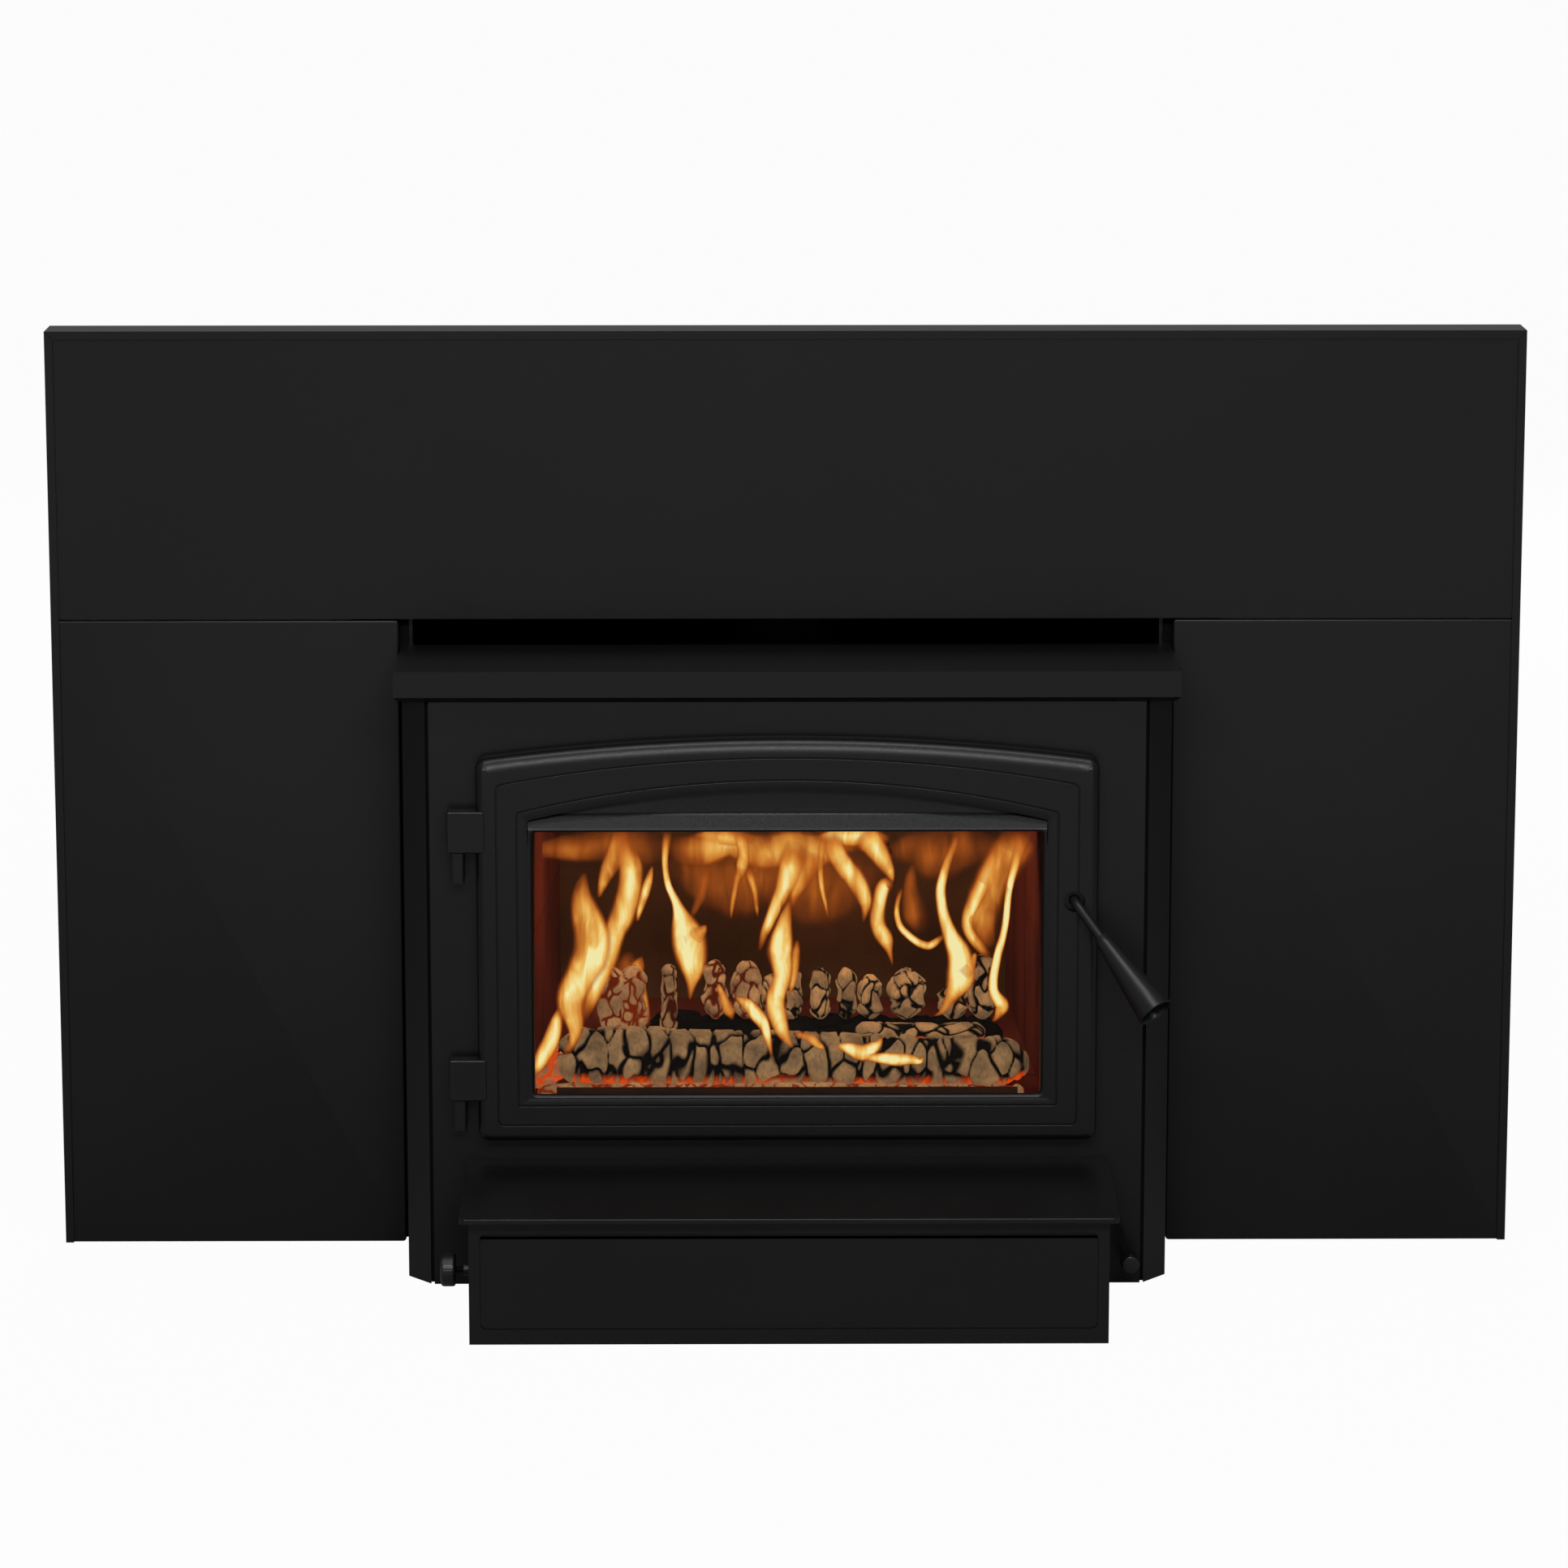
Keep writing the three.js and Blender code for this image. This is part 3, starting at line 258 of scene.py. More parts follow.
CAD_LOOKS = {
    SHEET_PAINT: """surround_top_panel surround_left_panel surround_right_panel trim_top trim_left trim_right
        base_plate casing_left casing_right casing_back casing_top
        corner_strip_left corner_strip_right front_plate top_hood firebox_support_left firebox_support_right
        air_intake_box ash_lip blower_housing blower_cover""",
    # The surround brackets take this dark paint as painted shade in the recess behind the surround.
    INNER_AND_SHADE_PAINT: """air_control_lever surround_bracket_left surround_bracket_right firebox_floor firebox_left_wall
        firebox_right_wall firebox_back_wall firebox_roof glass_retainer_top""",
    TINTED_STEEL: "glass_retainer_bottom",
    CAST_PAINT: "flue_collar door_frame hinge_barrel_upper hinge_barrel_lower",
    HANDLE_PAINT: "handle_rod handle_grip speed_control",
    STEEL: """air_damper hinge_pin_upper hinge_pin_lower grip_screw latch_cam blower_motor motor_shaft
        fan_wheel_left fan_wheel_right""",
    HOT_STEEL: "air_tube_front air_tube_middle air_tube_rear",
    BRICK: "brick_floor brick_left brick_right",
    BACK_BRICK: "brick_back",
    BOARD: "baffle_left baffle_right",
    GLASS: "door_glass",
    ROPE: "door_gasket",
    KNOB_PLASTIC: "air_control_knob speed_knob",
}
for look, names in CAD_LOOKS.items():
    for name in names.split():
        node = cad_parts[name]
        node.data.materials.clear()
        node.data.materials.append(look)


def soften(names, width, segments=3):
    """Rounds the sharp edges of sheet pieces a little, so that they catch the light."""
    for name in names.split():
        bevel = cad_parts[name].modifiers.new("edge", "BEVEL")
        bevel.width = width * MM
        bevel.segments = segments
        bevel.limit_method = "ANGLE"
        bevel.angle_limit = math.radians(40)
        bevel.harden_normals = True


soften("surround_top_panel", 0.7)
soften("trim_top trim_left trim_right", 0.7)
soften("corner_strip_left corner_strip_right", 0.8)
soften("front_plate", 0.8)
soften("top_hood", 1.4)
soften("blower_housing blower_cover", 0.6)
soften("ash_lip", 0.25)


# ---- Pieces ----


def piece(name, verts, faces, body, look, nodes=(), smooth=True):
    """A mesh, in millimetres, that rides on a body and may stand for CAD nodes."""
    mesh = bpy.data.meshes.new(name)
    mesh.from_pydata([tuple(c * MM for c in v) for v in verts], [], faces)
    mesh.validate()
    mesh.update()
    made = bpy.data.objects.new(name, mesh)
    scene.collection.objects.link(made)
    mesh.materials.append(look)
    mesh.polygons.foreach_set("use_smooth", [smooth] * len(mesh.polygons))
    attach(made, body)
    if nodes:
        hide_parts(*nodes)
    return made


def grid_faces(rows, columns, wrap_rows=False, wrap_columns=True):
    """Quads between the points of a grid given row by row."""
    faces = []
    for i in range(rows if wrap_rows else rows - 1):
        for k in range(columns if wrap_columns else columns - 1):
            i1, k1 = (i + 1) % rows, (k + 1) % columns
            faces.append((i * columns + k, i * columns + k1, i1 * columns + k1, i1 * columns + k))
    return faces


def split_sharp(made, degrees=35):
    """Smooth shading that stops at sharp edges."""
    mesh = made.data
    bpy.context.view_layer.objects.active = made
    mesh.set_sharp_from_angle(angle=math.radians(degrees))


# ---- Door casting ----

FRONT, BACK = -194.0, -175.0  # the door's faces
NOSE, SIDE_NOSE, TOP_NOSE = 9.0, 7.0, 14.5  # the rim's roundness: how deep, and how far in
CORNER_STEPS, SIDE_STEPS, CROWN_STEPS, SILL_STEPS = 6, 14, 64, 20
OUTLINE = dict(half=263.5, bottom=131.5, apex=481.0, rise=18.0, corner=10.0)
LINES = (
    dict(half=246.0, bottom=146.5, apex=465.0, rise=23.3, corner=5.0),
    dict(half=228.7, bottom=163.5, apex=446.0, rise=28.0, corner=2.0),
)
WINDOW = dict(half=215.3, bottom=173.3, apex=401.0, rise=0.0, corner=4.0)
WINDOW_BACK = dict(half=215.3, bottom=168.3, apex=401.0, rise=0.0, corner=4.0)
WINDOW_FRONT = dict(half=218.3, bottom=170.4, apex=403.2, rise=0.0, corner=5.0)
SCOOP = dict(half=219.8, bottom=169.6, apex=437.5, rise=26.3, corner=2.0)
SCOOP_DEEP, CREASE_Z, SCOOP_END_Z = 7.0, 416.0, 403.4


def arc(cx, cz, radius, start, end, steps):
    angles = [math.radians(start + (end - start) * i / steps) for i in range(steps + 1)]
    return [(cx + radius * math.cos(a), cz + radius * math.sin(a)) for a in angles]


def between(a, b, steps):
    return [(a[0] + (b[0] - a[0]) * i / steps, a[1] + (b[1] - a[1]) * i / steps) for i in range(1, steps)]


def arch(half, bottom, apex, rise, corner, grow=0.0):
    """An arched outline of a fixed number of points, so that outlines can be joined to each other."""
    wide, low, r = half + grow, bottom - grow, max(corner + grow, 0.5)
    if rise:
        radius = (half * half + rise * rise) / (2 * rise) + grow
        centre = apex + grow - radius
        height = centre + math.sqrt((radius - r) ** 2 - (wide - r) ** 2)
        lean = math.degrees(math.atan2(height - centre, wide - r))
        crown = arc(0, centre, radius, lean, 180 - lean, CROWN_STEPS)[1:-1]
    else:
        height, lean = apex + grow - r, 90.0
        crown = between((wide - r, apex + grow), (r - wide, apex + grow), CROWN_STEPS)
    low_right = arc(wide - r, low + r, r, -90, 0, CORNER_STEPS)
    high_right = arc(wide - r, height, r, 0, lean, CORNER_STEPS)
    high_left = arc(r - wide, height, r, 180 - lean, 180, CORNER_STEPS)
    low_left = arc(r - wide, low + r, r, 180, 270, CORNER_STEPS)
    return (
        low_right
        + between(low_right[-1], high_right[0], SIDE_STEPS)
        + high_right
        + crown
        + high_left
        + between(high_left[-1], low_left[0], SIDE_STEPS)
        + low_left
        + between(low_left[-1], low_right[0], SILL_STEPS)
    )


def crown_share(k):
    """1 for a point of arch() on the crown, 0 on the sides and sill, and between them in the corners."""
    first = CORNER_STEPS + 1 + SIDE_STEPS - 1
    last = first + 2 * (CORNER_STEPS + 1) + CROWN_STEPS - 2
    into = min(k - first, last - k)
    return min(max(into / CORNER_STEPS, 0.0), 1.0)


def scoop_depth(z):
    """How far the arched recess over the window lies behind the door's face."""
    if z >= CREASE_Z:
        return SCOOP_DEEP + 1.3 * math.sin(math.pi / 2 * min((z - CREASE_Z) / 17.0, 1.0))
    return SCOOP_DEEP * max((z - SCOOP_END_Z) / (CREASE_Z - SCOOP_END_Z), 0.0)


def make_door():
    rows = []

    def add(outline, y, grow=0.0):
        rows.append([(x, y, z) for x, z in arch(**outline, grow=grow)])

    add(WINDOW_BACK, BACK)
    add(OUTLINE, BACK, -11.3)
    add(OUTLINE, BACK - 3.3, -11.3)
    add(OUTLINE, BACK - 3.3, -2.7)
    add(OUTLINE, BACK, -2.7)
    add(OUTLINE, BACK, -0.8)
    add(OUTLINE, BACK - 0.8)
    add(OUTLINE, (BACK + FRONT + NOSE) / 2)
    for i in range(13):
        # The rim is rounder along the arch than down the sides.
        angle = math.radians(90 * i / 12)
        in_side = arch(**OUTLINE, grow=-SIDE_NOSE * (1 - math.cos(angle)))
        in_top = arch(**OUTLINE, grow=-TOP_NOSE * (1 - math.cos(angle)))
        row = []
        for k, (a, b) in enumerate(zip(in_side, in_top)):
            share = crown_share(k)
            y = FRONT + NOSE * (1 - math.sin(angle))
            row.append((a[0] + (b[0] - a[0]) * share, y, a[1] + (b[1] - a[1]) * share))
        rows.append(row)
    for line in LINES:
        for grow, deep in ((0.95, 0.0), (0.72, 0.2), (0.6, 2.4), (-0.6, 2.4), (-0.72, 0.2), (-0.95, 0.0)):
            add(line, FRONT + deep, grow)
    add(SCOOP, FRONT, 0.5)
    add(SCOOP, FRONT + 0.2, 0.1)
    # From the arch down to a crease, and from the crease forward to the window's edge.
    edge, lip = arch(**SCOOP), arch(**WINDOW_FRONT)
    middle = []
    for (x0, z0), (x1, z1) in zip(edge, lip):
        t = (z0 - CREASE_Z) / (z0 - z1) if z0 > CREASE_Z + 0.3 else 0.02
        middle.append((x0 + (x1 - x0) * t, z0 + (z1 - z0) * t))
    for start, end, steps in ((edge, middle, 14), (middle, lip, 10)):
        for i in range(steps + 1):
            t = i / steps
            row = []
            for (x0, z0), (x1, z1), (_, z_edge) in zip(start, end, edge):
                x, z = x0 + (x1 - x0) * t, z0 + (z1 - z0) * t
                deep = scoop_depth(z) if z_edge > SCOOP_END_Z + 0.5 else 0.0
                crease = 0.3 if start is middle and i == 0 and z_edge > CREASE_Z + 0.3 else 0.0
                row.append((x, FRONT + 0.2 + deep + crease, z))
            if start is middle and i == 0:
                rows[-1] = row
            else:
                rows.append(row)
    for share, deep in ((0.3, 0.5), (0.55, 1.1), (0.8, 2.1), (0.95, 3.0), (1.0, 3.6)):
        row = []
        for (x0, z0), (x1, z1) in zip(lip, arch(**WINDOW)):
            row.append((x0 + (x1 - x0) * share, FRONT + deep, z0 + (z1 - z0) * share))
        rows.append(row)
    count = len(rows[0])
    verts = [v for row in rows for v in row]
    door = piece(
        "door_casting", verts, grid_faces(len(rows), count, wrap_rows=True), "door", CAST_PAINT, ["door_frame"]
    )
    bore(door, (243, 341), 9.0, FRONT - 5, FRONT + 7)
    bore(door, (243, 341), 4.9, FRONT - 5, BACK + 5)
    split_sharp(door, 32)
    return door


def bore(target, centre, radius, y0, y1):
    """Cuts a round hole along Y."""
    cutter = tube("cutter", [Vector((centre[0], y, centre[1])) for y in (y0, y1)], [radius, radius], 48)
    cut = target.modifiers.new("bore", "BOOLEAN")
    cut.operation = "DIFFERENCE"
    cut.solver = "EXACT"
    cut.object = cutter
    bpy.context.view_layer.update()
    result = bpy.data.meshes.new_from_object(target.evaluated_get(bpy.context.evaluated_depsgraph_get()))
    target.modifiers.remove(cut)
    target.data = result
    bpy.data.objects.remove(cutter)


def tube(name, points, radii, sides):
    """A plain closed tube along points, not yet a piece."""
    mesh = bpy.data.meshes.new(name)
    verts, faces = tube_mesh(points, radii, sides)
    mesh.from_pydata([tuple(v * MM) for v in verts], [], faces)
    made = bpy.data.objects.new(name, mesh)
    scene.collection.objects.link(made)
    return made


def tube_mesh(points, radii, sides):
    """Points and faces of a closed round tube of changing radius."""
    verts, side = [], None
    for i, p in enumerate(points):
        along = (points[min(i + 1, len(points) - 1)] - points[max(i - 1, 0)]).normalized()
        if side is None:
            side = along.orthogonal().normalized()
        side = (side - along * side.dot(along)).normalized()
        up = along.cross(side)
        for k in range(sides):
            a = 2 * math.pi * k / sides
            verts.append(p + (side * math.cos(a) + up * math.sin(a)) * radii[i])
    faces = grid_faces(len(points), sides)
    last = len(points) - 1
    faces.append(tuple(range(sides))[::-1])
    faces.append(tuple(last * sides + k for k in range(sides)))
    return verts, faces


def turned(name, start, along, outline, segments, body, look, nodes=(), flutes=0, flute_deep=0.0):
    """A turned piece: an outline of (radius, distance) round an axis; it ends where the radius is 0."""
    along = Vector(along).normalized()
    side = along.orthogonal().normalized()
    up = along.cross(side)
    rings = [p for p in outline if p[0] > 0]
    verts = []
    for r, s in rings:
        for k in range(segments):
            a = 2 * math.pi * k / segments
            radius = r - flute_deep * (0.5 + 0.5 * math.cos(a * flutes)) if flutes and r == max(p[0] for p in rings) else r
            verts.append(Vector(start) + along * s + (side * math.cos(a) + up * math.sin(a)) * radius)
    faces = grid_faces(len(rings), segments, wrap_rows=outline[0] == outline[-1] and outline[0][0] > 0)
    if outline[0][0] == 0:
        faces.append(tuple(range(segments))[::-1])
    if outline[-1][0] == 0:
        faces.append(tuple((len(rings) - 1) * segments + k for k in range(segments)))
    made = piece(name, verts, faces, body, look, nodes)
    split_sharp(made, 40)
    return made


def rounded_box(name, low, high, radius, body, look, nodes=(), segments=4):
    """A box with all its edges rounded."""
    verts = [(x, y, z) for z in (low[2], high[2]) for x, y in ((low[0], low[1]), (high[0], low[1]), (high[0], high[1]), (low[0], high[1]))]
    faces = [(3, 2, 1, 0), (4, 5, 6, 7), (0, 1, 5, 4), (1, 2, 6, 5), (2, 3, 7, 6), (3, 0, 4, 7)]
    made = piece(name, verts, faces, body, look, nodes)
    bevel = made.modifiers.new("edge", "BEVEL")
    bevel.width = radius * MM
    bevel.segments = segments
    bevel.harden_normals = True
    return made


door_casting = make_door()
for place, top in (("upper", 419), ("lower", 203.5)):
    rounded_box("door_lug_" + place, (-288, -194, top - 36), (-254.5, -178, top), 1.6, "door", CAST_PAINT, ["door_frame"])

# ---- Handle and knobs ----

ALONG = Vector((0.54, -0.497, -0.679)).normalized()
CORNER = Vector((243, -196, 341))


def make_handle():
    bend = 8.0
    points = [Vector((243, -155, 341)), Vector((243, -170, 341)), Vector((243, -184, 341))]
    before, after = CORNER + Vector((0, bend, 0)), CORNER + ALONG * bend
    for i in range(13):
        t = i / 12
        points.append(before * (1 - t) ** 2 + CORNER * 2 * t * (1 - t) + after * t * t)
    points += [CORNER + ALONG * d for d in (20, 40, 60, 81)]
    verts, faces = tube_mesh(points, [4.2] * len(points), 32)
    bar = piece("handle_bar", verts, faces, "latch", HANDLE_PAINT, ["handle_rod"])
    split_sharp(bar, 40)
    start = CORNER + ALONG * 39
    outline = [
        (4.6, 0.4), (5.2, 0.0), (6.0, 0.2), (6.5, 0.9), (7.3, 8.0), (9.0, 24.0), (11.4, 45.0), (13.6, 64.0), (15.3, 79.0),
        (15.7, 80.6), (15.8, 81.4), (15.4, 82.0), (14.7, 82.0), (14.2, 81.4), (13.7, 79.0), (11.2, 60.0), (10.2, 53.0),
        (9.4, 52.0), (3.3, 52.0), (3.1, 51.5), (3.1, 43.5), (4.6, 43.0), (4.6, 0.4),
    ]
    turned("handle_cone", start, ALONG, outline, 72, "latch", HANDLE_PAINT, ["handle_grip"])


make_handle()
turned(
    "speed_dial", (-281.0, -259, 38), (-1, 0, 0),
    [(0, 0), (12.6, 0), (13.6, 0.5), (14.1, 1.5), (14.2, 3.0), (14.2, 9.4), (13.8, 11.0), (12.6, 12.0), (10.6, 12.4), (0, 12.4)],
    96, "speed", DIAL_PLASTIC, ["speed_knob"], flutes=30, flute_deep=0.35,
)
turned(
    "speed_stem", (-268.0, -259, 38), (-1, 0, 0), [(0, -11), (2.6, -11), (2.6, 13.2), (0, 13.2)],
    40, "speed", INNER_AND_SHADE_PAINT, ["speed_knob"],
)
turned(
    "air_button", (293.2, -194.4, 25.4), (0, -1, 0),
    [(0, 0), (6.8, 0), (7.3, 0.4), (7.4, 1.2), (7.4, 10.6), (7.2, 11.5), (6.7, 11.9), (6.2, 12.0), (0, 12.0)],
    72, "air_control", KNOB_PLASTIC, ["air_control_knob"],
)

# ---- Side panels of the surround ----


def make_side_panel(name, x0, x1, node):
    """A folded panel whose three free edges have a small radius."""
    z0, z1, front, sheet, radius = 2.0, 557.3, -42.0, 1.6, 1.5
    rows = []

    def add(inset, y, tidy=0.0):
        r = max(3.0 - inset + tidy, 0.4)
        lo_x, hi_x, lo_z, hi_z = x0 + inset, x1 - inset, z0 + inset, z1 - inset
        ring = arc(hi_x - r, lo_z + r, r, -90, 0, 4) + arc(hi_x - r, hi_z - r, r, 0, 90, 4)
        ring += arc(lo_x + r, hi_z - r, r, 90, 180, 4) + arc(lo_x + r, lo_z + r, r, 180, 270, 4)
        rows.append([(x, y, z) for x, z in ring])

    for i in range(7):
        a = math.radians(90 * i / 6)
        add(radius * (1 - math.sin(a)), front + radius * (1 - math.cos(a)))
    add(0.0, front + 17.9)
    add(sheet, front + 17.9)
    add(sheet, front + sheet)
    count = len(rows[0])
    verts = [v for row in rows for v in row]
    faces = grid_faces(len(rows), count)
    faces.append(tuple(range(count))[::-1])
    faces.append(tuple((len(rows) - 1) * count + k for k in range(count)))
    made = piece(name, verts, faces, "root", SHEET_PAINT, [node])
    split_sharp(made, 30)


make_side_panel("left_panel", -633.1, -335.0, "surround_left_panel")
make_side_panel("right_panel", 335.0, 633.1, "surround_right_panel")

# ---- Gasket, and painted shade in the seams ----


def loop_piece(name, points, radius, sides, body, look, nodes=()):
    """A round bar bent to a closed loop in a plane Y = constant."""
    verts = []
    for i, p in enumerate(points):
        along = (points[(i + 1) % len(points)] - points[i - 1]).normalized()
        side = along.cross(Vector((0, 1, 0)))
        for k in range(sides):
            a = 2 * math.pi * k / sides
            verts.append(p + side * math.cos(a) * radius + Vector((0, 1, 0)) * math.sin(a) * radius)
    return piece(name, verts, grid_faces(len(points), sides, wrap_rows=True), body, look, nodes)


rope_path = [Vector((x, -174.9, z)) for x, z in arch(**OUTLINE, grow=-7.0)]
loop_piece("gasket_rope", rope_path, 3.6, 12, "door", ROPE, ["door_gasket"])

# Dark strips behind the grooves down the sides of the front: painted shade, so that the grooves read dark instead of
# showing the floor behind.
for side in (-1, 1):
    x0, x1 = sorted((side * 303.0, side * 308.6))
    rounded_box(
        "seam_shade_strip_" + ("left" if side < 0 else "right"), (x0, -164.4, 0.05), (x1, -161.8, 508), 0.3,
        "root", INNER_AND_SHADE_PAINT,
    )

# A black strip along the top of the blower cover: painted shade of the gap there.
cover_gap_shade = seen_at(966, 1525, -353).z
rounded_box("cover_gap_shade", (-255.5, -353.2, cover_gap_shade - 0.9), (255.5, -351.6, cover_gap_shade + 0.9), 0.3, "root", PAINTED_GAP_SHADE)

# ---- Fire ----


def in_window(cx, cy, y):
    """A place in the window, measured in a picture of it with 2.24 pixels per pixel of the photograph."""
    return seen_at(620 + cx / 2.24, 960 + cy / 2.24, y)


def smooth_path(points, steps=6):
    """More points on a smooth line through the given ones."""
    out = []
    for i in range(len(points) - 1):
        p0, p1, p2, p3 = (points[min(max(i + k, 0), len(points) - 1)] for k in (-1, 0, 1, 2))
        for n in range(steps):
            t = n / steps
            out.append(
                tuple(
                    0.5 * (2 * b + (c - a) * t + (2 * a - 5 * b + 4 * c - d) * t * t + (3 * b - a - 3 * c + d) * t ** 3)
                    for a, b, c, d in zip(p0, p1, p2, p3)
                )
            )
    out.append(points[-1])
    return out


def flame_look(name, heat):
    """Fire that is brightest along its middle; U runs across a flame and V along it."""
    s = Shader(name)
    uv = s.node("SeparateXYZ", {"Vector": s.node("TexCoord").outputs["UV"]})
    drift = s.noise(30.0, 2.0, stretch=(1.0, 1.0, 0.5))
    across = s.math("MULTIPLY_ADD", uv.outputs["X"], 2.0, s.math("MULTIPLY_ADD", drift, 0.9, -1.45))
    across = s.math("MINIMUM", s.math("ABSOLUTE", across), 1.0)
    rim = s.math("MINIMUM", s.math("MULTIPLY", uv.outputs["X"], 5.0), s.math("MULTIPLY", s.math("SUBTRACT", 1.0, uv.outputs["X"]), 5.0))
    body = s.math("MULTIPLY", s.math("SUBTRACT", 1.0, s.math("POWER", across, 1.5)), s.math("MINIMUM", rim, 1.0))
    ends = s.math("MINIMUM", s.math("MULTIPLY", uv.outputs["Y"], 5.0), s.math("MULTIPLY", s.math("SUBTRACT", 1.0, uv.outputs["Y"]), 3.5))
    ends = s.math("MINIMUM", ends, 1.0)
    wisps = s.noise(58.0, 3.0, stretch=(1.3, 1.0, 0.28), distortion=0.6)
    vary = s.math("MULTIPLY_ADD", wisps, 2.0, -0.05)
    power = s.math("MULTIPLY", s.math("MULTIPLY", body, ends), s.math("MULTIPLY", vary, heat), clamp=True)
    colour = s.ramp(
        power, (0.0, linear(110, 34, 6)), (0.28, linear(196, 98, 28)), (0.55, linear(238, 160, 64)),
        (0.8, linear(252, 208, 112)), (1.0, linear(255, 243, 176)),
    )
    cover = s.ramp(power, (0.03, 0.0), (0.35, 0.5), (0.85, 0.95))
    glow = s.node("Emission", {"Color": colour, "Strength": 1.0})
    both = s.node("MixShader", {0: cover})
    s.tree.links.new(s.node("BsdfTransparent").outputs[0], both.inputs[1])
    s.tree.links.new(glow.outputs[0], both.inputs[2])
    return s.surface(both)


def flame(name, y, look, points):
    """A flat flame of lens section along points (across, down, half its width) in the window's picture."""
    path = smooth_path(points)
    verts, uvs, sides = [], [], 12
    for i, (cx, cy, half) in enumerate(path):
        before, after = path[max(i - 1, 0)], path[min(i + 1, len(path) - 1)]
        dx, dy = after[0] - before[0], after[1] - before[1]
        size = math.hypot(dx, dy) or 1.0
        nx, ny = dy / size, -dx / size
        half = max(half, 1.5) * 1.25
        for k in range(sides):
            a = 2 * math.pi * k / sides
            off = half * math.cos(a)
            p = in_window(cx + nx * off, cy + ny * off, y)
            p.y += 0.06 * half * math.sin(a) + 3.0 * math.sin(i * 0.5)
            verts.append(p)
            uvs.append((0.5 + 0.5 * math.cos(a), i / (len(path) - 1)))
    faces = grid_faces(len(path), sides)
    last = (len(path) - 1) * sides
    faces += [tuple(range(sides))[::-1], tuple(last + k for k in range(sides))]
    made = piece(name, verts, faces, "root", look)
    layer = made.data.uv_layers.new(name="flame")
    for loop in made.data.loops:
        layer.data[loop.index].uv = uvs[loop.vertex_index]
    made.visible_shadow = made.visible_diffuse = made.visible_glossy = False
    return made


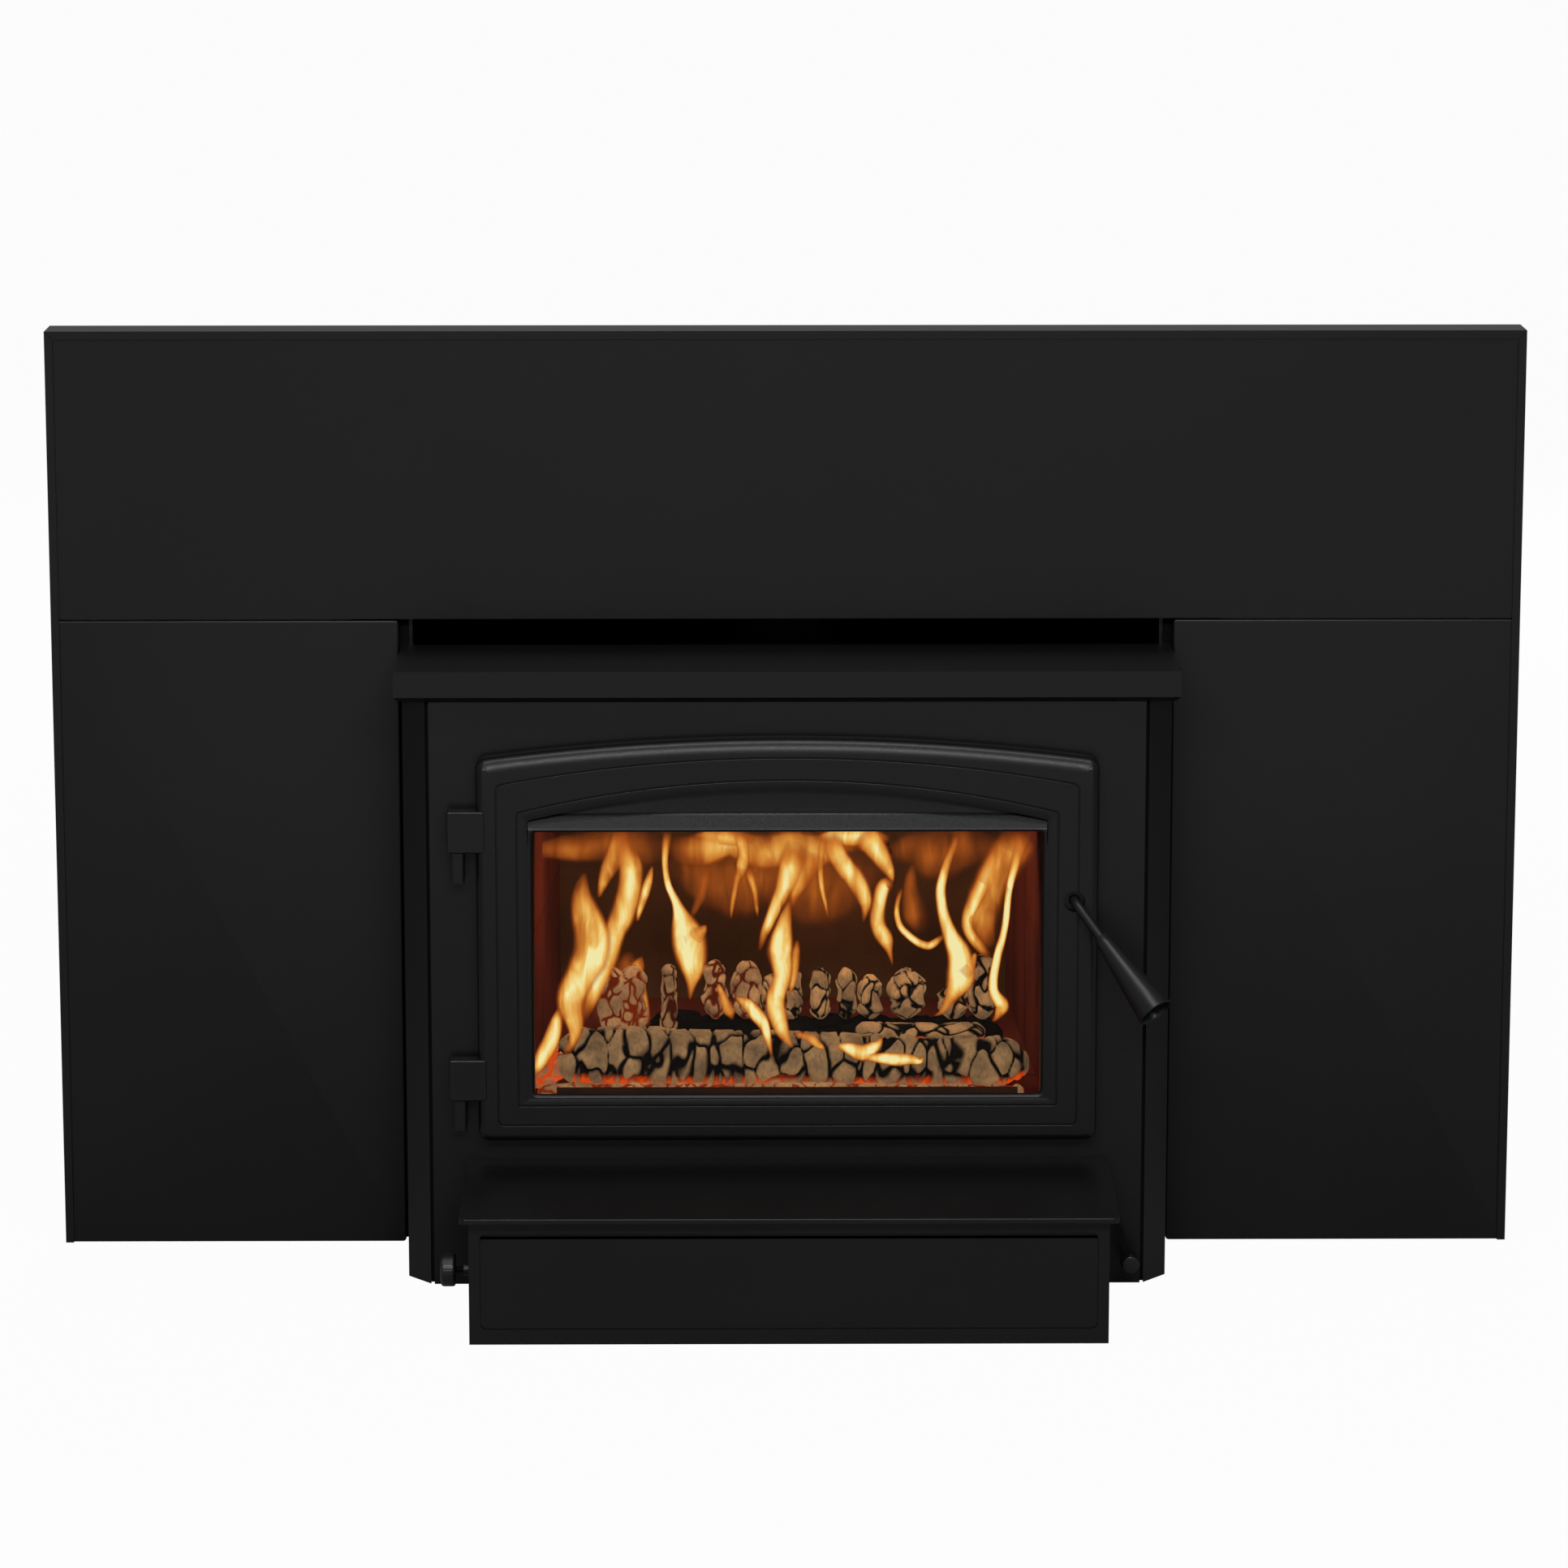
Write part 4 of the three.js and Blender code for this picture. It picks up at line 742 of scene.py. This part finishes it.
FIERCE, BRIGHT, SOFT, FAINT = (flame_look("flame_" + n, h) for n, h in (("fierce", 1.12), ("bright", 0.86), ("soft", 0.56), ("faint", 0.25)))
FLAMES = (
    (80, FAINT, [(50, 215, 8), (150, 190, 34), (260, 180, 52), (380, 190, 60), (470, 190, 20)]),
    (90, FAINT, [(1040, 190, 12), (1130, 200, 56), (1200, 205, 76), (1290, 190, 60), (1400, 190, 20)]),
    (85, FAINT, [(430, 210, 20), (520, 260, 60), (640, 290, 100), (760, 280, 76), (860, 310, 104), (980, 250, 80), (1100, 220, 16)]),
    (70, SOFT, [(430, 170, 20), (520, 200, 46), (620, 175, 40), (700, 200, 50), (790, 190, 50), (860, 200, 50), (950, 165, 40), (1080, 170, 30)]),
    (66, SOFT, [(520, 160, 8), (590, 158, 20), (650, 165, 18), (700, 175, 8)]),
    (64, BRIGHT, [(870, 165, 10), (930, 160, 24), (1000, 160, 26), (1070, 170, 12)]),
    (60, BRIGHT, [(655, 150, 22), (664, 200, 16), (660, 240, 18), (652, 285, 6)]),
    (58, SOFT, [(655, 235, 16), (640, 300, 9), (632, 350, 7), (628, 390, 3)]),
    (57, SOFT, [(670, 240, 16), (694, 305, 9), (700, 350, 7), (703, 385, 3)]),
    (-96, BRIGHT, [(70, 830, 10), (100, 780, 22), (135, 710, 24), (150, 660, 16), (155, 625, 5)]),
    (-94, FIERCE, [(165, 775, 8), (200, 700, 20), (185, 610, 38), (215, 540, 44), (245, 465, 52), (232, 390, 42), (215, 320, 30), (226, 255, 6)]),
    (0, BRIGHT, [(205, 690, 14), (240, 600, 28), (280, 505, 32), (305, 430, 30), (338, 345, 36), (352, 255, 36), (338, 190, 32), (350, 135, 26)]),
    (4, SOFT, [(262, 330, 6), (285, 260, 22), (315, 200, 30), (330, 140, 30)]),
    (12, BRIGHT, [(370, 395, 5), (384, 340, 12), (398, 290, 13), (412, 238, 4)]),
    (40, BRIGHT, [(300, 690, 26), (330, 620, 30), (350, 560, 26), (372, 515, 20), (384, 485, 4)]),
    (42, SOFT, [(388, 690, 20), (386, 610, 16), (380, 540, 10), (378, 500, 3)]),
    (44, FAINT, [(290, 690, 60), (320, 600, 60), (340, 520, 40), (350, 470, 10)]),
    (20, FIERCE, [(456, 140, 18), (447, 215, 10), (456, 290, 10), (482, 350, 15), (500, 400, 34), (514, 450, 44), (522, 520, 34), (518, 572, 14), (514, 612, 3)]),
    (19, SOFT, [(500, 450, 24), (530, 432, 26), (552, 415, 14), (562, 404, 3)]),
    (24, FAINT, [(515, 392, 6), (535, 345, 14), (556, 290, 20), (570, 230, 14)]),
    (34, BRIGHT, [(815, 170, 34), (795, 240, 36), (772, 310, 24), (745, 372, 17), (722, 425, 13), (708, 480, 6)]),
    (36, SOFT, [(860, 200, 50), (830, 260, 34), (806, 310, 20), (796, 360, 6)]),
    (-95, FIERCE, [(792, 330, 5), (776, 400, 22), (764, 470, 34), (770, 540, 26), (752, 600, 27), (757, 660, 27), (780, 712, 16), (803, 748, 3)]),
    (0, SOFT, [(812, 440, 6), (806, 500, 14), (800, 560, 10), (790, 600, 4)]),
    (-36, SOFT, [(590, 562, 4), (606, 600, 13), (624, 640, 17), (634, 668, 3)]),
    (-96, FIERCE, [(636, 602, 5), (680, 628, 19), (710, 664, 19), (728, 710, 12), (742, 770, 3)]),
    (46, SOFT, [(884, 150, 16), (876, 230, 10), (880, 300, 8), (890, 345, 6), (898, 385, 2)]),
    (48, BRIGHT, [(900, 150, 30), (922, 210, 27), (960, 265, 29), (990, 315, 25), (1000, 352, 16), (992, 400, 3)]),
    (50, BRIGHT, [(985, 150, 44), (1030, 195, 32), (1060, 248, 20), (1076, 288, 5)]),
    (38, BRIGHT, [(1080, 300, 12), (1052, 288, 20), (1036, 340, 20), (1034, 400, 22), (1056, 442, 22), (1068, 482, 9), (1076, 516, 2)]),
    (40, FAINT, [(1130, 230, 10), (1125, 300, 24), (1140, 370, 40), (1165, 430, 20)]),
    (36, BRIGHT, [(1100, 300, 8), (1086, 355, 8), (1096, 405, 10), (1130, 440, 11), (1175, 458, 12), (1208, 440, 9), (1224, 415, 3)]),
    (10, FIERCE, [(1258, 150, 12), (1226, 230, 12), (1208, 300, 14), (1214, 370, 16), (1234, 430, 22), (1260, 490, 34), (1262, 548, 40), (1240, 600, 22), (1210, 640, 9), (1186, 658, 2)]),
    (8, SOFT, [(1304, 478, 4), (1292, 512, 14), (1268, 545, 22)]),
    (14, SOFT, [(1440, 150, 50), (1385, 220, 56), (1335, 310, 52), (1320, 400, 44), (1345, 470, 20)]),
    (12, BRIGHT, [(1400, 170, 30), (1340, 260, 26), (1296, 340, 20), (1280, 405, 16), (1310, 455, 16), (1346, 500, 12)]),
    (10, FIERCE, [(1440, 140, 26), (1416, 220, 14), (1397, 300, 10), (1386, 400, 10), (1364, 490, 12), (1352, 580, 14), (1376, 622, 20), (1366, 652, 12), (1346, 668, 3)]),
    (-100, FIERCE, [(918, 738, 6), (960, 746, 19), (1000, 752, 23), (1030, 735, 14), (1047, 708, 3)]),
    (-103, FIERCE, [(975, 768, 5), (1060, 772, 17), (1110, 772, 17), (1148, 778, 10), (1158, 760, 2)]),
    (-101, SOFT, [(800, 702, 8), (850, 716, 15), (876, 736, 10), (888, 752, 3)]),
)
for number, (y, look, points) in enumerate(FLAMES):
    flame("flame_%02d" % number, y, look, points)


def log_look():
    """Charred wood: ash-grey blocks, black cracks between them, and a glow in the deepest ones. The whole log also
    glows faintly in its own colour: painted firelight.
    """
    s = Shader("charred_log")
    marks = s.node("SeparateColor", {"Color": s.node("Attribute", attribute_name="char").outputs["Color"]})
    crack, glow = marks.outputs["Red"], marks.outputs["Green"]
    cloud = s.noise(46.0, 4.0)
    grain = s.noise(420.0, 4.0, stretch=(1, 1, 0.4))
    wood = s.mix(s.ramp(cloud, (0.35, 0.0), (0.7, 1.0)), linear(146, 112, 74), linear(92, 72, 52))
    wood = s.mix(s.ramp(grain, (0.45, 0.0), (0.75, 0.4)), wood, linear(30, 22, 16))
    colour = s.mix(s.ramp(crack, (0.25, 0.0), (0.7, 1.0)), wood, linear(8, 6, 5))
    # Emission: orange ember glow where the marks say so, and elsewhere the wood's own colour, a painted firelight over
    # the whole log.
    lit = s.mix(glow, colour, linear(255, 84, 16))
    return s.surface(
        s.node(
            "BsdfPrincipled",
            {
                "Base Color": colour, "Roughness": 0.95, "Specular IOR Level": 0.05,
                "Normal": s.bump(grain, 0.6, 0.8), "Emission Color": lit, "Emission Strength": 0.75,
            },
        )
    )


LOG = log_look()


def log_piece(name, start, end, radii, blocks, seed, underside_glow_and_firelight=0.0, hot=0.0, dark=0.0, lumpy=0.16):
    """A charred log from start to end; blocks is the size of its cracked blocks along and round it."""
    start, end = Vector(start), Vector(end)
    along = (end - start).normalized()
    side = along.cross(Vector((0, 0, 1) if abs(along.z) < 0.7 else (0, 1, 0))).normalized()
    up = side.cross(along)
    count = max(int((end - start).length / 1.6), 12)
    sides = 96
    verts, marks = [], []
    for i in range(count + 1):
        t = i / count
        radius = radii[0] + (radii[1] - radii[0]) * t
        tip = min(t, 1 - t) * (end - start).length
        radius *= math.sqrt(min(1.0, (tip + 1.0) / (0.9 * radius)))
        for k in range(sides):
            a = 2 * math.pi * k / sides
            out = side * math.cos(a) + up * math.sin(a)
            where = Vector((t * (end - start).length / blocks[0], math.cos(a) * radius / blocks[1] + seed, math.sin(a) * radius / blocks[1]))
            wander = noise.noise_vector(where * 1.4) * 0.35
            near = noise.voronoi(where + wander, distance_metric="DISTANCE", exponent=2.5)[0]
            gap = near[1] - near[0]
            crack = 1 - min(gap / 0.22, 1.0)
            # The glow on the underside is partly ember glow and partly painted firelight from the ember bed below.
            low = min(max(0.0, (-out.z - 0.4) / 0.35), 1.0) * underside_glow_and_firelight
            bulge = noise.noise(out * 0.9 + along * (t * 4 + seed)) * lumpy
            fine = noise.noise((start + along * t * 300 + out * 40) * 0.09) * 0.05
            r = radius * (1 + bulge + fine) - crack ** 1.5 * min(6.5, radius * 0.35)
            r = max(r, radius * 0.5)
            verts.append(start + (end - start) * t + out * r)
            spark = max(0.0, noise.noise(where * 2.1 + Vector((9, 4, 2))))
            marks.append((max(crack, dark), min(1.0, crack * (low * 1.4 + hot) + low * spark * 0.6 + hot * 0.25), 0.0, 1.0))
    faces = grid_faces(count + 1, sides)
    last = count * sides
    faces += [tuple(range(sides))[::-1], tuple(last + k for k in range(sides))]
    made = piece(name, verts, faces, "root", LOG)
    layer = made.data.color_attributes.new(name="char", type="FLOAT_COLOR", domain="POINT")
    for item, mark in zip(layer.data, marks):
        item.color = mark
    return made


log_piece("log_front", (-205, -62, 174), (212, -60, 167), (28, 23), (17, 40), 1.3, underside_glow_and_firelight=0.9)
log_piece("ember_bed", (-216, -97, 152), (206, -96, 151), (8, 7), (13, 14), 6.4, underside_glow_and_firelight=0.8, hot=0.25)
log_piece("log_end", (-226, -62, 150), (-188, -60, 182), (15, 17), (15, 15), 3.7, underside_glow_and_firelight=1.0, hot=0.9)
log_piece("log_back", (-128, 88, 160), (196, 86, 158), (19, 17), (26, 22), 5.1, underside_glow_and_firelight=0.5, dark=0.8)
log_piece("log_split", in_window(972, 694, 42), in_window(1330, 700, 42), (8, 9), (20, 18), 8.2, underside_glow_and_firelight=0.6)
# Blocks that the back log has cracked into: across and down at the top, half the width, and how hot.
BLOCKS = (
    (585, 500, 30, 0.1), (672, 502, 40, 0.1), (738, 540, 22, 0.0), (795, 512, 27, 0.0), (875, 520, 26, 0.0),
    (947, 520, 25, 0.0), (1012, 540, 30, 0.0), (1112, 522, 46, 0.0), (1240, 560, 40, 0.0), (1322, 486, 36, 0.0),
    (300, 520, 34, 0.14), (358, 514, 34, 0.2), (458, 512, 20, 0.05),
)
for number, (cx, top, half, hot) in enumerate(BLOCKS):
    y = 74 + 5 * (number % 2) if cx > 500 else 26
    high, low = in_window(cx, top, y), in_window(cx, 660 if cx > 500 else 700, y)
    log_piece("block_%02d" % number, low, high, (half * 0.36, half * 0.33), (17, 15), 11.0 + 2.3 * number, hot=hot, lumpy=0.34)


# ---- Lamps, world and floor ----


def area_lamp(name, at, towards, size, watts, colour=(1, 1, 1), mirrored=True):
    data = bpy.data.lights.new(name, "AREA")
    data.shape = "RECTANGLE"
    data.size, data.size_y = size
    data.energy = watts
    data.color = colour
    lamp = bpy.data.objects.new(name, data)
    lamp.location = at
    lamp.visible_camera = lamp.visible_transmission = False
    lamp.visible_glossy = mirrored
    lamp.rotation_euler = (Vector(towards) - Vector(at)).to_track_quat("-Z", "Y").to_euler()
    scene.collection.objects.link(lamp)


area_lamp("lamp_over", (0.0, -4.4, 2.6), (0.0, -4.4, 0.0), (3.2, 1.5), 250.0)
area_lamp("lamp_top", (0.0, -1.1, 2.6), (0.0, -0.3, 0.4), (1.6, 0.3), 22.0)
area_lamp("lamp_back", (0.6, 4.4, 1.7), (0.0, 0.2, 0.3), (2.5, 1.6), 130.0, mirrored=False)
area_lamp("lamp_fire", (0.0, 0.0, 0.385), (0.0, 0.3, 0.2), (0.36, 0.12), 0.9, (1.0, 0.6, 0.28))


def make_world():
    world = bpy.data.worlds.new("world")
    scene.world = world
    world.use_nodes = True
    tree = world.node_tree
    tree.nodes.clear()

    def add(kind):
        return tree.nodes.new("ShaderNode" + kind)

    path = add("LightPath")
    seen, strength = add("Math"), add("Math")
    seen.operation, strength.operation = "MAXIMUM", "MULTIPLY_ADD"
    tree.links.new(path.outputs["Is Camera Ray"], seen.inputs[0])
    tree.links.new(path.outputs["Is Transmission Ray"], seen.inputs[1])
    either = add("Math")
    either.operation = "MULTIPLY_ADD"
    tree.links.new(path.outputs["Is Glossy Ray"], either.inputs[0])
    either.inputs[1].default_value = GLOSSY_LEVEL - AMBIENT_LEVEL
    either.inputs[2].default_value = AMBIENT_LEVEL
    tree.links.new(seen.outputs[0], strength.inputs[0])
    strength.inputs[1].default_value = 1.0
    tree.links.new(either.outputs[0], strength.inputs[2])
    clamp = add("Clamp")
    tree.links.new(strength.outputs[0], clamp.inputs["Value"])
    glow, out = add("Background"), add("OutputWorld")
    glow.inputs["Color"].default_value = (1, 1, 1, 1)
    tree.links.new(clamp.outputs[0], glow.inputs["Strength"])
    tree.links.new(glow.outputs[0], out.inputs["Surface"])


AMBIENT_LEVEL, GLOSSY_LEVEL = 0.12, 0.3
make_world()


def make_floor():
    s = Shader("floor")
    cloud = s.noise(3.0, 2.0)
    base = s.ramp(cloud, (0.3, 0.39), (0.7, 0.41))
    plain_look = s.node("BsdfPrincipled", {"Base Color": base, "Roughness": 0.9, "Specular IOR Level": 0.1})
    glow = s.node("Emission", {"Color": (1, 1, 1, 1), "Strength": 1.0})
    path = s.node("LightPath")
    seen = s.math("MAXIMUM", path.outputs["Is Camera Ray"], path.outputs["Is Transmission Ray"])
    share = s.math("MULTIPLY_ADD", seen, 0.97, s.math("MULTIPLY", path.outputs["Is Glossy Ray"], FLOOR_GLOSSY), clamp=True)
    both = s.node("MixShader", {0: share})
    s.tree.links.new(plain_look.outputs[0], both.inputs[1])
    s.tree.links.new(glow.outputs[0], both.inputs[2])
    look = s.surface(both)
    mesh = bpy.data.meshes.new("floor")
    size = 30.0
    mesh.from_pydata([(-size, -size, -0.0005), (size, -size, -0.0005), (size, size, -0.0005), (-size, size, -0.0005)], [], [(0, 1, 2, 3)])
    floor = bpy.data.objects.new("floor", mesh)
    scene.collection.objects.link(floor)
    mesh.materials.append(look)


FLOOR_GLOSSY = 0.0
make_floor()

scene.view_settings.view_transform = "Standard"
